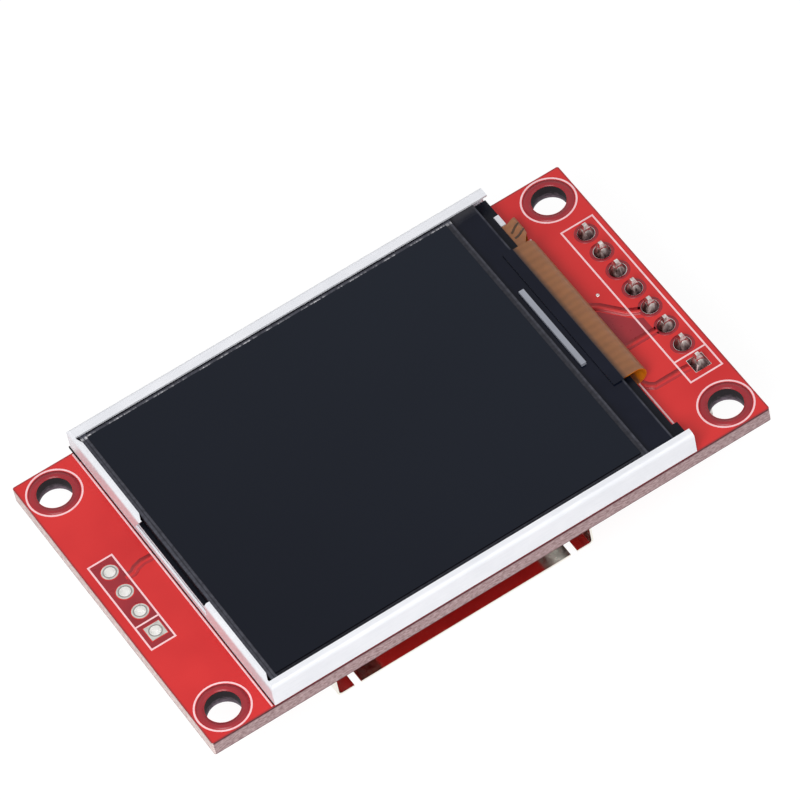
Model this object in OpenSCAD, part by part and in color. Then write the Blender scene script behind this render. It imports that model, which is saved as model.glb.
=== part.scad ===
// Small colour display module: a glass display in a steel tray, taped to a red circuit board,
// with an eight-pin header, four card signal holes and a memory card socket on the underside.
// Millimetres. Origin: centre of the four mounting holes, on the board's upper face.
// +X points to the header end, +Y to the far long side, +Z out of the screen.

/* [Circuit board] */
// Length of the board, along X
board_l = 56.4; // [56:0.1:75]
// Width of the board, along Y
board_w = 33.4; // [33:0.1:50]
// Thickness of the board
board_t = 1.6; // [1:0.1:2.4]
// Radius of the board's corners
board_r = 0.2; // [0.1:0.1:1.5]
// Diameter of the mounting holes
hole_d = 3.2; // [2:0.1:3.6]
// Distance of the mounting holes from the board's edges
hole_inset = 2.7; // [2.6:0.1:3]
// Thickness of copper lands
land_t = 0.04; // [0.02:0.01:0.07]
// Thickness of the plating inside drilled holes
plating_t = 0.05; // [0.02:0.01:0.1]

/* [Printed lines] */
// Width of a printed line
line_w = 0.16; // [0.12:0.01:0.3]
// Thickness of the print
print_t = 0.02; // [0.01:0.01:0.05]
// Outer diameter of the printed ring round a mounting hole
ring_d = 5.1; // [4.6:0.05:5.3]
// Distance of the printed boxes' middles from the rows of holes inside them, along X
box_shift = -0.1; // [-0.2:0.05:0.2]
// Gap between the display's closed end and the line printed beside it
outline_gap = 0.1; // [0.08:0.02:0.3]
// Gap between the display's open end and the line printed beside it
header_outline_gap = 0.02; // [0.02:0.02:0.3]
// Distance of this line's ends from the board's long edges
outline_inset = 0.15; // [0.05:0.05:1]
// Distance of the marks beside the flexible cable from its edges
mark_inset = 1; // [0.5:0.1:2]

/* [Pin header] */
// Distance between neighbouring pins
pitch = 2.54; // [2:0.01:2.6]
// Number of header pins
header_count = 8; // [2:1:8]
// Distance of the header pins from the board's end
header_inset = 2.1; // [2:0.1:2.5]
// Width of a square pin
pin_w = 0.64; // [0.4:0.02:0.66]
// Height of the pin tips over the board
pin_rise = 1.3; // [0.8:0.1:2.5]
// Length of the pins below their housing
pin_reach = 6; // [3:0.1:9]
// Length of the taper at a pin's ends
pin_taper = 0.35; // [0.1:0.05:0.5]
// Height of the header's plastic housing
housing_h = 2.54; // [1.5:0.01:3.5]
// Width of the header's plastic housing
housing_w = 2.5; // [1.6:0.1:2.8]
// Depth of the notches between the housing's cells
housing_nick = 0.4; // [0.1:0.05:0.5]
// Inner diameter of the plated holes
plated_d = 1; // [0.95:0.01:1.2]
// Diameter of the lands round the header pins
header_land_d = 1.6; // [1.5:0.05:1.9]
// Height of the solder round a header pin
solder_rise = 0.85; // [0.3:0.05:1.1]
// Width of the printed box round the header
header_box_w = 3.4; // [2.6:0.1:3.6]

/* [Card signal holes] */
// Number of card signal holes
signal_count = 4; // [1:1:4]
// Distance of the card signal holes from the board's end
signal_inset = 2.2; // [2:0.1:2.6]
// Diameter of their lands
signal_land_d = 1.55; // [1.4:0.05:1.8]
// Width of the printed box round them
signal_box_w = 2.55; // [2.2:0.05:3]

/* [Display tray] */
// Length of board left free at the signal holes' end
signal_margin = 6.25; // [6:0.05:9]
// Length of board left free at the header's end
header_margin = 7.5; // [7:0.1:10]
// Distance by which the steel tray passes the board's near long edge
tray_overhang = 0.1; // [-0.5:0.05:0.5]
// Spare room between the glass and the tray's far side wall
far_room = 0.35; // [0:0.05:0.5]
// Thickness of the tray's sheet steel
tray_t = 0.2; // [0.1:0.05:0.3]
// Outer radius of the tray's bends
tray_r = 0.35; // [0.3:0.05:0.6]
// Width of the lips over the long edges of the glass
side_lip = 0.8; // [0.6:0.05:1.2]
// Width of the lip over the closed end of the glass
end_lip = 0.55; // [0.45:0.05:0.9]
// Length of the cut-out in the end wall
notch_l = 10.7; // [2:0.1:14]
// Distance of the cut-out from the tray's centre line
notch_y = -0.55; // [-3:0.05:3]
// Height of the wall that the cut-out leaves
notch_wall_h = 0.7; // [0.5:0.1:1.5]
// Length of the cut-out's slanted far end
notch_slant = 1.1; // [0:0.1:2]
// Length of the slanted corners of the end lips
flap_slant = 0.9; // [0.3:0.1:2]

/* [Glass and films] */
// Thickness of each glass plate
glass_t = 0.5; // [0.3:0.05:0.7]
// Gap between the glass and the tray's side walls
glass_side_gap = 0.15; // [0.05:0.05:0.3]
// Gap between the glass and the tray's end wall
glass_end_gap = 0.4; // [0.1:0.05:0.4]
// Distance of the rear glass's free end from the tray's open end
rear_glass_setback = 1.3; // [1:0.1:2]
// Length of the ledge by which the rear glass passes the front one
ledge_l = 2.7; // [2.6:0.1:5]
// Thickness of each polariser
polariser_t = 0.18; // [0.1:0.01:0.25]
// Bare glass between a polariser and the edge of the glass at the ends
polariser_end_gap = 0.6; // [0.3:0.02:1]
// Bare glass between a polariser and the lip at the sides
polariser_lip_gap = 0.5; // [0.3:0.05:1.5]
// Gap between the front glass and the lips
lip_gap = 0.1; // [0.05:0.01:0.15]
// Width of the driver chip
chip_w = 0.5; // [0.4:0.05:0.9]
// Length of the driver chip
chip_l = 10; // [6:0.1:14]
// Height of the driver chip
chip_h = 0.3; // [0.2:0.02:0.5]
// Gap between the front glass and the driver chip
chip_gap = 0.6; // [0.5:0.05:1.3]
// Distance of the driver chip from the display's centre line
chip_y = 0.7; // [-3:0.1:3]

/* [Backlight] */
// Thickness of the reflector sheet
reflector_t = 0.1; // [0.05:0.01:0.2]
// Thickness of the light guide
guide_t = 0.5; // [0.45:0.01:0.8]
// Thickness of the diffuser sheet
diffuser_t = 0.08; // [0.05:0.01:0.15]
// Thickness of each of the two prism sheets
prism_t = 0.1; // [0.05:0.01:0.15]
// Gap between the prism sheets and the rear polariser
film_gap = 0.04; // [0.02:0.01:0.1]
// Thickness of the black shading tape
shade_t = 0.05; // [0.03:0.01:0.1]
// Width of the backlight frame's bars at its closed sides
bar_w = 1.05; // [0.9:0.05:1.6]
// Gap between the backlight frame and the tray
bar_gap = 0.05; // [0.02:0.01:0.15]
// Distance that the backlight frame stays inside the tray's open end
frame_setback = 0.5; // [0.1:0.05:0.5]
// Number of light-emitting diodes
led_count = 3; // [1:1:5]
// Length of a diode
led_l = 3; // [1.6:0.1:3.5]
// Depth of a diode
led_d = 0.8; // [0.5:0.05:1]

/* [Flexible cable] */
// Thickness of the flexible cable
flex_t = 0.12; // [0.08:0.01:0.15]
// Width of the flexible cable
flex_w = 17.6; // [10:0.1:20]
// Distance of the cable from the display's centre line
flex_y = 1.2; // [-1:0.1:1.4]
// Reach of the cable's fold past the tray's open end
flex_reach = 1; // [0.7:0.05:1.3]
// Length of cable bonded on to the ledge
bond_l = 1; // [0.6:0.1:1.05]
// Length of cable that lies under the display
flex_under = 5.8; // [4:0.1:7]
// Number of solder joints on the cable's end
flex_joints = 14; // [4:1:16]
// Width of the diodes' cable tail
tail_w = 2.9; // [1.5:0.1:3]
// Reach of the diodes' cable tail past the tray's open end
tail_reach = 1.2; // [0.7:0.05:1.2]
// Gap between the flexible cable and the diodes' tail
tail_gap = 0.3; // [0.1:0.05:0.6]

/* [Tape] */
// Thickness of the tape that holds the display on the board
tape_t = 0.25; // [0.24:0.01:0.6]
// Distance by which the tape shows past the tray's closed end
tape_proud = 0.04; // [0.02:0.02:0.08]
// Distance by which the tape's loose corner sticks out past the tray's side
tape_ear_l = 0.15; // [0.1:0.05:1.5]
// Width of this corner
tape_ear_w = 0.5; // [0.3:0.1:2]
// Length of this corner along the tray's closed end
tape_ear_d = 1.7; // [1:0.1:3]
// Distance of the tape from the board's long edges
tape_side_gap = 0.2; // [0.1:0.1:2]
// Gap between the tape and the end of the flexible cable
tape_end_gap = 1.2; // [0.8:0.1:4]

/* [Card socket] */
// Distance of the socket's mouth from the board's near edge
socket_setback = 0.5; // [0:0.1:1.5]
// Distance of the socket's middle from the board's middle, along X
socket_x = -3.1; // [-4:0.1:-1]
// Depth of the socket, mouth to back
socket_l = 27; // [26:0.1:28]
// Width of the card slot
slot_w = 24.2; // [24.1:0.1:24.6]
// Height of the card slot
slot_h = 2.15; // [2.1:0.05:2.6]
// Thickness of the socket's plastic floor
floor_t = 0.45; // [0.35:0.05:0.7]
// Width of the plastic rails beside the card
rail_w = 0.7; // [0.6:0.05:1]
// Depth of the plastic bar across the socket's back
bar_l = 2.5; // [2:0.1:3.5]
// Thickness of the sheet-metal cover
cover_t = 0.2; // [0.1:0.05:0.3]
// Outer radius of the cover's bends
cover_r = 0.5; // [0.35:0.05:0.7]
// Number of card contacts
contact_count = 9; // [7:1:9]
// Distance between neighbouring card contacts
contact_pitch = 2.5; // [2.3:0.05:2.55]
// Width of a card contact
contact_w = 0.9; // [0.5:0.05:1.1]
// Thickness of a card contact
contact_t = 0.15; // [0.08:0.01:0.2]
// Diameter of the socket's locating pegs
peg_d = 1.2; // [0.8:0.1:1.6]
// Gap between a peg and its hole in the board
peg_gap = 0.1; // [0.05:0.01:0.2]

/* [Small parts] */
// Length of a resistor
resistor_l = 1.6; // [1:0.1:1.8]
// Width of a resistor
resistor_w = 0.8; // [0.5:0.1:1]
// Height of a resistor
resistor_h = 0.45; // [0.3:0.05:0.6]
// Length of a capacitor
capacitor_l = 2; // [1.6:0.1:2.2]
// Width of a capacitor
capacitor_w = 1.25; // [0.8:0.05:1.4]
// Height of a capacitor
capacitor_h = 0.8; // [0.5:0.05:1.3]
// Length of the regulator's body
regulator_l = 2.9; // [2.6:0.1:3.1]
// Width of the regulator's body
regulator_w = 1.3; // [1.2:0.05:1.5]
// Height of the regulator's body
regulator_h = 1.1; // [0.8:0.05:1.3]

/* [Hidden] */
$fn = 48;
eps = 0.01;      // overlap of a cutting tool past the face it cuts

// Plan positions on the board
hole_x = board_l/2 - hole_inset;
hole_y = board_w/2 - hole_inset;
header_x = board_l/2 - header_inset;
signal_x = -board_l/2 + signal_inset;
row_end = pitch*0.57;                            // printed box, past the outer header pins
signal_row_end = pitch*0.62;                     // and past the outer signal holes

// Plan positions of the display
tray_x0 = -board_l/2 + signal_margin;
tray_x1 = board_l/2 - header_margin;
tray_w = board_w + 2*tray_overhang;              // without the spare room
tray_y1 = tray_w/2 + far_room;
glass_x0 = tray_x0 + tray_t + glass_end_gap;
rear_glass_x1 = tray_x1 - rear_glass_setback;
front_glass_x1 = rear_glass_x1 - ledge_l;
glass_w = tray_w - 2*(tray_t + glass_side_gap);
polariser_w = tray_w - 2*(side_lip + polariser_lip_gap);
frame_x0 = tray_x0 + tray_t + bar_gap;
frame_x1 = tray_x1 - frame_setback;
frame_w = tray_w - 2*(tray_t + bar_gap);
window_x0 = frame_x0 + bar_w;
window_w = frame_w - 2*bar_w;
end_bar_w = 1;                                   // bar beside the diodes
diode_x1 = frame_x1 - end_bar_w;
led_gap = 0.1;
guide_x1 = diode_x1 - led_d - led_gap;           // the guide ends just short of the diodes
guide_gap = 0.05;
prism_setback = 0.4;                             // the upper prism sheet ends before the lower
film_margin = 0.1;                               // room round the rear polariser
tape_ear_side = 0.05;                            // the loose corner, past the tape's end
ear_w = frame_w*0.08;                            // ears in line with the lips
far_ear_cut = 0.6;                               // the far ear is narrower, beside the lug
lug_w = 1.3;                                     // lug beside the tail
lug_reach = 0.05;

// Heights of the display's layers over the board
z_tray = tape_t;
z_guide = z_tray + reflector_t;
z_diffuser = z_guide + guide_t;
z_prism = z_diffuser + diffuser_t;
z_rear_polariser = z_prism + 2*prism_t + film_gap;
z_rear_glass = z_rear_polariser + polariser_t;
z_shade = z_rear_glass - shade_t;
z_front_glass = z_rear_glass + glass_t;
z_front_polariser = z_front_glass + glass_t;
z_lip = z_front_polariser + lip_gap;
z_top = z_lip + tray_t;

// Flexible cables
flex_x1 = tray_x1 + flex_reach;                  // outermost line of the fold
flex_z0 = land_t;                                // the lower run lies on its lands
flex_z1 = z_front_glass + flex_t;                // upper face of the run on the ledge
flex_y0 = flex_y - flex_w/2;
flex_y1 = flex_y + flex_w/2;
tail_x1 = tray_x1 + tail_reach;
tail_y0 = flex_y1 + tail_gap;
tail_y1 = tail_y0 + tail_w;
tail_side = 0.1;                                 // room beside the tail, both sides together
tail_flare = 0.4;                                // widening of the tail at its fold
strip_t = 0.1;                                   // the diodes' own cable
strip_gap = 0.05;                                // gap between it and the shading tape
strip_inset = 0.5;                               // and from its ends to the frame's bars
strip_z0 = z_shade - strip_t - strip_gap;
led_h = strip_z0 - z_guide;
led_pitch = window_w/(led_count + 0.2);
tail_under = 2.4;                                // length of tail that lies under the display
flex_edge = 1;                                   // outer joints, from the cable's edges
flex_pitch = (flex_w - 2*flex_edge)/(flex_joints - 1);
flex_land_w = flex_pitch*0.5;
flex_land_l = 1.8;
flex_toe = 0.5;                                  // lands, past the cable's end
cover_film_t = 0.04;                             // black film over the bonded stretch
cover_side = 0.1;                                // and how far it passes the cable's edges
cover_reach = 0.02;                              // and the end of the glass

// Card socket, seen from the board's underside
socket_w = slot_w + 2*(rail_w + cover_t);
socket_h = floor_t + slot_h + cover_t;
socket_y0 = -board_w/2 + socket_setback;
socket_y1 = socket_y0 + socket_l;
bar_y0 = socket_y1 - bar_l;
bare_l = 1;                                      // length of the bar that the cover leaves bare
cover_y1 = socket_y1 - bare_l;
cover_clear = 0.05;                              // gap between the cover's walls and the board
finger_inset = 1.7;                              // slits beside the mouth, from the cover's sides
finger_w = 0.65;
finger_l = 8;
finger_x = socket_w/2 - finger_inset - finger_w;
foot_w = 1.8;
foot_l = 1.2;
front_foot = 5;                                  // feet, from the socket's mouth and from its back
rear_foot = 6;
foot_y = [socket_y0 + front_foot, socket_y1 - rear_foot];
tail_l = 1.6;                                    // contact tails, past the socket's back
spring_l = 5.2;                                  // length of a contact spring, before the bar
bow_h = 0.45;                                    // rise of its bow over the floor
bow_l = 0.6;
switch_t = 0.12;
switch_h = 0.9;
switch_l = 9;                                    // length of a switch spring's pocket, before the bar
switch_bow = 0.15;                               // reach of the spring's bow into the slot
switch_back = 1.2;                               // length of the spring beside the bar
foot_in = 0.2;                                   // inward part of a switch spring's foot
peg_inset = 4.25;                                // pegs, from the cover's sides
peg_back = 10.4;                                 // pegs, from the bar
peg_x = socket_w/2 - peg_inset;
peg_y = bar_y0 - peg_back;
peg_l = 0.8;
floor_l = 12.3;                                  // length of the contact floor
floor_y0 = bar_y0 - floor_l;
rail_inset = 3.2;                                // rails, from the cover's mouth
rail_y0 = socket_y0 + rail_inset;
tongue_w = 2.6;
tongue_l = 8;
tongue_slit = 0.5;
tongue_x = 5.5;                                  // tongues, from the socket's middle
tongue_back = 9;                                 // tongues, from the socket's mouth
land_side = 0.1;                                 // lands of the socket, past the sides of a tail
land_end = 0.4;                                  // and past its end
foot_margin = 0.2;                               // lands of the feet, past a foot's sides
foot_toe = 0.5;                                  // and past its end

// Small parts on the underside, between the socket and the header
column_inset = 12.2;                             // middle of the inner column, from the board's end
column_gap = 4.4;                                // from there to the outer column
resistor_setback = 5.2;                          // first resistors, from the board's near edge
resistor_pitch = 2.3;
regulator_offset = 2;                            // regulator, from the inner column
regulator_setback = 11.7;                        // regulator, from the board's far edge
capacitor_pitch = 4.3;                           // capacitors on both sides of the regulator
capacitor_offset = 0.4;
jumper_rise = 7;                                 // solder bridge, from the first resistors
jumper_l = 1;
jumper_w = 1.3;
jumper_gap = 0.3;
inner_x = board_l/2 - column_inset;
outer_x = inner_x + column_gap;
first_y = -board_w/2 + resistor_setback;
resistor_at = [[inner_x, first_y], [inner_x, first_y + resistor_pitch], [outer_x, first_y],
               [outer_x, first_y + resistor_pitch], [outer_x, first_y + 2*resistor_pitch]];
regulator_at = [inner_x + regulator_offset, board_w/2 - regulator_setback];
capacitor_at = [for (side = [-1, 1])
    [inner_x + capacitor_offset, regulator_at[1] + side*capacitor_pitch]];
jumper_at = [inner_x, first_y + jumper_rise];
cap_l = 0.35;                                    // metal end caps of the small parts
cap_land_l = 0.9;                                // lands under them
cap_land_toe = 0.55;                             // and how far these show past the caps
cap_frame_l = 2.3;                               // printed boxes, longer than the parts
cap_frame_w = 1;
body_gap = 0.1;                                  // gap under the regulator's body
body_slope = 0.08;
lead_t = 0.15;
lead_w = 0.4;
lead_reach = 0.75;                               // leads, past the regulator's body
lead_knee = 0.25;
lead_step = 0.15;
lead_pitch = 0.95;
lead_places = [[-1, -lead_pitch], [-1, lead_pitch], [1, 0]]; // side, and offset along the body
lead_land_l = 1.05;
fillet_w = 0.35;                                 // solder past the end of a cap or lead

// A row of n places centred on y = 0, as in a pin header
function row(n, step) = [for (i = [0 : n - 1]) (i - (n - 1)/2)*step];

header_ys = row(header_count, pitch);
signal_ys = row(signal_count, pitch);
contact_xs = [for (x = row(contact_count, contact_pitch)) socket_x + x];

// Outline of a bent strip: the path and, turned back, the path moved by one thickness
function thick_line(path, step) = concat(path, [for (i = [len(path) - 1 : -1 : 0]) path[i] + step]);

// ---- helpers ----

// Rectangle with round corners, made of true arcs
module round_rect(l, w, r) {
    square([l - 2*r, w], center = true);
    square([l, w - 2*r], center = true);
    for (x = [-1, 1], y = [-1, 1])
        translate([x*(l/2 - r), y*(w/2 - r)]) circle(r);
}

// Flat sheet between two X values, centred on y = 0
module sheet(x0, x1, w, z, t) {
    translate([x0, -w/2, z]) cube([x1 - x0, w, t]);
}

// Puts what was drawn on a surface facing +Z on the board's underside
module underside() {
    translate([0, 0, -board_t]) mirror([0, 0, 1]) children();
}

// Outline of a printed box
module box_line(x, y0, y1, w) {
    translate([x, (y0 + y1)/2]) difference() {
        square([w, y1 - y0], center = true);
        square([w - 2*line_w, y1 - y0 - 2*line_w], center = true);
    }
}

// Printed box round a row of holes, with a bar that sets off the first one
module row_box(x, n, w, past) {
    half = (n - 1)*pitch/2 + past;
    box_line(x + box_shift, -half, half, w);
    bar_y = -(n - 2)*pitch/2;
    translate([x + box_shift - w/2, bar_y - line_w/2]) square([w, line_w]);
}

// One plated hole: a land on each face and the barrel between them
module plated_hole(land_d, first) {
    difference() {
        union() {
            for (z = [0, -board_t - land_t])
                translate([0, 0, z]) {
                    if (first) translate([-land_d/2, -land_d/2, 0]) cube([land_d, land_d, land_t]);
                    else cylinder(h = land_t, d = land_d);
                }
            translate([0, 0, -board_t]) cylinder(h = board_t, d = plated_d + 2*plating_t);
        }
        translate([0, 0, -board_t - 1]) cylinder(h = board_t + 2, d = plated_d);
    }
}

// Square bar from z0 to z1 with a taper at each end
module square_pin(z0, z1) {
    tip = pin_w*0.55;
    section = [[-tip/2, z0], [tip/2, z0], [pin_w/2, z0 + pin_taper], [pin_w/2, z1 - pin_taper],
               [tip/2, z1], [-tip/2, z1], [-pin_w/2, z1 - pin_taper], [-pin_w/2, z0 + pin_taper]];
    intersection() {
        rotate([90, 0, 0]) linear_extrude(height = pin_w, center = true) polygon(section);
        rotate([90, 0, 90]) linear_extrude(height = pin_w, center = true) polygon(section);
    }
}

// Tray-shaped block: bends along both sides and the closed end, plain at the open end
module tray_block(x0, x1, w, z0, z1, r) {
    intersection() {
        translate([x0, 0, 0]) rotate([90, 0, 90]) linear_extrude(height = x1 - x0) {
            translate([-w/2, z0]) square([w, z1 - z0 - r]);
            translate([-w/2 + r, z0]) square([w - 2*r, z1 - z0]);
            for (side = [-1, 1])
                translate([side*(w/2 - r), z1 - r]) circle(r);
        }
        translate([0, w/2, 0]) rotate([90, 0, 0]) linear_extrude(height = w) {
            translate([x0, z0]) square([x1 - x0, z1 - z0 - r]);
            translate([x0 + r, z0]) square([x1 - x0 - r, z1 - z0]);
            translate([x0 + r, z1 - r]) circle(r);
        }
    }
}

// Side outline of a cable that leaves at x0 on the upper level, folds and returns to x2
module fold_outline(x0, x_fold, x2, z0, z1, t) {
    r = (z1 - z0)/2;
    cx = x_fold - r;
    translate([x0, z1 - t]) square([cx - x0, t]);
    translate([x2, z0]) square([cx - x2, t]);
    translate([cx, z0 + r]) difference() {
        circle(r);
        circle(r - t);
        translate([-2*r, -r - 1]) square([2*r, 2*r + 2]);
    }
}

// ---- board ----

module board() {
    color("crimson") difference() {
        translate([0, 0, -board_t]) linear_extrude(height = board_t) round_rect(board_l, board_w, board_r);
        for (x = [-hole_x, hole_x], y = [-hole_y, hole_y])
            translate([x, y, -board_t - 1]) cylinder(h = board_t + 2, d = hole_d);
        for (y = header_ys)
            translate([header_x, y, -board_t - 1]) cylinder(h = board_t + 2, d = plated_d + 2*plating_t);
        for (y = signal_ys)
            translate([signal_x, y, -board_t - 1]) cylinder(h = board_t + 2, d = plated_d + 2*plating_t);
        for (side = [-1, 1])
            translate([socket_x + side*peg_x, peg_y, -board_t - 1])
                cylinder(h = board_t + 2, d = peg_d + 2*peg_gap);
    }
}

// Lines printed on both faces
module board_legend() {
    color("mistyrose") {
        linear_extrude(height = print_t) {
            corner_rings();
            row_box(header_x, header_count, header_box_w, row_end);
            row_box(signal_x, signal_count, signal_box_w, signal_row_end);
            display_outline();
        }
        underside() linear_extrude(height = print_t) {
            corner_rings();
            row_box(header_x, header_count, header_box_w, row_end);
            row_box(signal_x, signal_count, signal_box_w, signal_row_end);
            part_frames();
        }
    }
}

module corner_rings() {
    for (x = [-hole_x, hole_x], y = [-hole_y, hole_y])
        translate([x, y]) difference() {
            circle(d = ring_d);
            circle(d = ring_d - 2*line_w);
        }
}

// Lines beside both ends of the display, and a mark at each end of the cable's fold
module display_outline() {
    w = min(tray_w, board_w) - 2*outline_inset;
    translate([tray_x0 - outline_gap - line_w, -w/2]) square([line_w, w]);
    reach = tray_w*0.39;
    translate([tray_x1 + header_outline_gap, -reach]) square([line_w, 2*reach]);
    for (y = [flex_y0 + mark_inset, flex_y1 + mark_inset])
        translate([flex_x1 + outline_gap, y]) square([line_w, 2.5*line_w]);
}

// Boxes printed round the small parts on the underside
module part_frames() {
    for (p = capacitor_at)
        translate(p) part_frame(capacitor_l, capacitor_w);
    for (p = resistor_at)
        translate(p) part_frame(resistor_l, resistor_w);
}

module part_frame(l, w) {
    difference() {
        square([l + cap_frame_l, w + cap_frame_w], center = true);
        square([l + cap_frame_l - 1.2*line_w, w + cap_frame_w - 1.2*line_w], center = true);
    }
}

// ---- header ----

module header_lands() {
    color("silver") for (i = [0 : header_count - 1])
        translate([header_x, header_ys[i], 0]) plated_hole(header_land_d, i == 0);
}

module signal_lands() {
    color("whitesmoke") for (i = [0 : signal_count - 1])
        translate([signal_x, signal_ys[i], 0]) plated_hole(signal_land_d, i == 0);
}

module header_pins() {
    color("lightgray") for (y = header_ys)
        translate([header_x, y, 0]) square_pin(-board_t - land_t - housing_h - pin_reach, pin_rise);
}

// Black strip under the board, notched between the pins
module header_housing() {
    z0 = -board_t - land_t - housing_h;
    color("#202024") difference() {
        translate([header_x - housing_w/2, -header_count*pitch/2, z0])
            cube([housing_w, header_count*pitch, housing_h]);
        for (side = [-1, 1], i = [0 : header_count])
            translate([header_x + side*housing_w/2, (i - header_count/2)*pitch, z0 - 1])
                rotate([0, 0, 45]) translate([-housing_nick/sqrt(2), -housing_nick/sqrt(2), 0])
                    cube([housing_nick*sqrt(2), housing_nick*sqrt(2), housing_h + 2]);
        for (y = header_ys)
            translate([header_x - pin_w/2, y - pin_w/2, z0 - 1]) cube([pin_w, pin_w, housing_h + 2]);
    }
}

// Solder in each hole and its hollow cone over the land
module header_solder() {
    top = min(solder_rise, pin_rise - pin_taper - 0.02);
    foot = header_land_d/2*0.9;
    neck = pin_w*0.62;
    color("silver") for (y = header_ys)
        translate([header_x, y, 0]) difference() {
            rotate_extrude() polygon(concat(
                [[0, -board_t], [plated_d/2, -board_t], [plated_d/2, land_t]],
                [for (i = [0 : 6]) let (a = i*15)
                    [foot - (foot - neck)*sin(a), land_t + (top - land_t)*(1 - cos(a))]],
                [[0, top]]));
            translate([-pin_w/2, -pin_w/2, -board_t - 1]) cube([pin_w, pin_w, board_t + top + 2]);
        }
}

// ---- display, from the board upwards ----

module mounting_tape() {
    x0 = tray_x0 - tape_proud;
    x1 = tray_x1 - flex_under - tape_end_gap;
    w = board_w - 2*tape_side_gap;
    color("#1b1a1d") linear_extrude(height = tape_t) {
        translate([x0, -w/2]) square([x1 - x0, w]);
        translate([x0 - tape_ear_side, tray_y1 - tape_ear_d]) square([tape_ear_w, tape_ear_d + tape_ear_l]);
    }
}

module reflector_sheet() {
    color("white") sheet(window_x0 + guide_gap, diode_x1, window_w - 2*guide_gap, z_tray, reflector_t);
}

module light_guide() {
    color("azure") sheet(window_x0 + guide_gap, guide_x1, window_w - 2*guide_gap, z_guide, guide_t);
}

module diffuser_sheet() {
    color("whitesmoke") sheet(window_x0 + guide_gap, guide_x1, window_w - 2*guide_gap,
                              z_diffuser, diffuser_t);
}

// Two crossed prism sheets, one on the other
module lower_prism_sheet() {
    color("lavender") sheet(window_x0 + guide_gap, guide_x1, window_w - 2*guide_gap, z_prism, prism_t);
}

module upper_prism_sheet() {
    color("lavender") sheet(window_x0 + guide_gap, guide_x1 - prism_setback,
                            window_w - 2*guide_gap, z_prism + prism_t, prism_t);
}

// Ears at the open end, in line with the lips
module frame_ears(z, t) {
    for (ear = [[-1, ear_w], [1, ear_w - far_ear_cut]])
        translate([diode_x1, ear[0]*(frame_w - ear[1])/2 - ear[1]/2, z])
            cube([end_bar_w + frame_setback, ear[1], t]);
}

// White plastic frame: bars round the light guide, ears at the open end
module backlight_frame() {
    h = z_shade - z_tray;
    color("ghostwhite") difference() {
        union() {
            sheet(frame_x0, frame_x1, frame_w, z_tray, h);
            frame_ears(z_tray, h);
            // longer lug beside the tail
            translate([diode_x1, tail_y1 + tail_side, z_tray])
                cube([tray_x1 + lug_reach - diode_x1, lug_w, h - shade_t]);
        }
        sheet(window_x0, diode_x1, window_w, z_tray - 1, h + 2);
        // step that clears the rear polariser
        polariser_area(film_margin, z_rear_polariser - film_gap, 1);
        // way out for the diodes' tail
        translate([diode_x1 - 1, tail_y0 - tail_side/2, strip_z0])
            cube([frame_x1 - diode_x1 + 2, tail_w + tail_side, h]);
    }
}

module backlight_diodes() {
    color("lightyellow") for (y = row(led_count, led_pitch))
        translate([diode_x1 - led_d, y - led_l/2, z_guide]) cube([led_d, led_l, led_h]);
}

// Narrow cable over the diodes, with the tail that folds down to the board
module diode_cable() {
    color("#b87333") {
        sheet(diode_x1 - led_d, diode_x1, window_w - 2*strip_inset, strip_z0, strip_t);
        intersection() {
            translate([0, tail_y1 + tail_flare, 0]) rotate([90, 0, 0])
                linear_extrude(height = tail_w + tail_flare)
                    fold_outline(diode_x1 - led_d/2, tail_x1, tray_x1 - tail_under, flex_z0,
                                 strip_z0 + strip_t, strip_t);
            tail_plan();
        }
    }
}

// Leaf shape of the tail, seen from above: straight under the display, flared at the fold
module tail_plan() {
    x0 = tray_x1 - tail_under - 1;
    x1 = tray_x1 + lug_reach + 0.1;
    translate([0, 0, -1]) linear_extrude(height = z_top)
        polygon([[x0, tail_y0], [x1, tail_y0], [tail_x1 - 0.2, tail_y0 + tail_w*0.4],
                 [tail_x1 + 0.1, tail_y0 + tail_w*0.8], [tail_x1 - 0.1, tail_y1 + tail_flare],
                 [x1, tail_y1], [x0, tail_y1]]);
}

// Black film between backlight and glass: open over the light guide, closed over the diodes
module shading_tape() {
    color("#151518") difference() {
        union() {
            sheet(frame_x0, frame_x1, frame_w, z_shade, shade_t);
            frame_ears(z_shade, shade_t);
        }
        polariser_area(film_margin, z_shade - 1, shade_t + 2);
    }
}

// A polariser's area, or that area widened by a margin
module polariser_area(margin, z, t) {
    sheet(glass_x0 + polariser_end_gap - margin, front_glass_x1 - polariser_end_gap + margin,
          polariser_w + 2*margin, z, t);
}

module rear_polariser() {
    color("dimgray") polariser_area(0, z_rear_polariser, polariser_t);
}

module rear_glass() {
    color("#30333a") sheet(glass_x0, rear_glass_x1, glass_w, z_rear_glass, glass_t);
}

module front_glass() {
    color("#3c3c40") sheet(glass_x0, front_glass_x1, glass_w, z_front_glass, glass_t);
}

module front_polariser() {
    color("#23262e") polariser_area(0, z_front_polariser, polariser_t);
}

module driver_chip() {
    color("#a6aab4") translate([front_glass_x1 + chip_gap, chip_y - chip_l/2, z_front_glass])
        cube([chip_w, chip_l, chip_h]);
}

// Cable bonded on the ledge, folded round the display's open end and soldered under it
module flex_cable() {
    color("#b87333") translate([0, flex_y1, 0]) rotate([90, 0, 0]) linear_extrude(height = flex_w)
        fold_outline(rear_glass_x1 - bond_l, flex_x1, tray_x1 - flex_under, flex_z0, flex_z1, flex_t);
}

// Black film over the bonded stretch of the cable
module bond_cover() {
    color("#18181c") translate([rear_glass_x1 - bond_l, flex_y0 - cover_side, flex_z1])
        cube([bond_l + cover_reach, flex_w + 2*cover_side, cover_film_t]);
}

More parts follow.
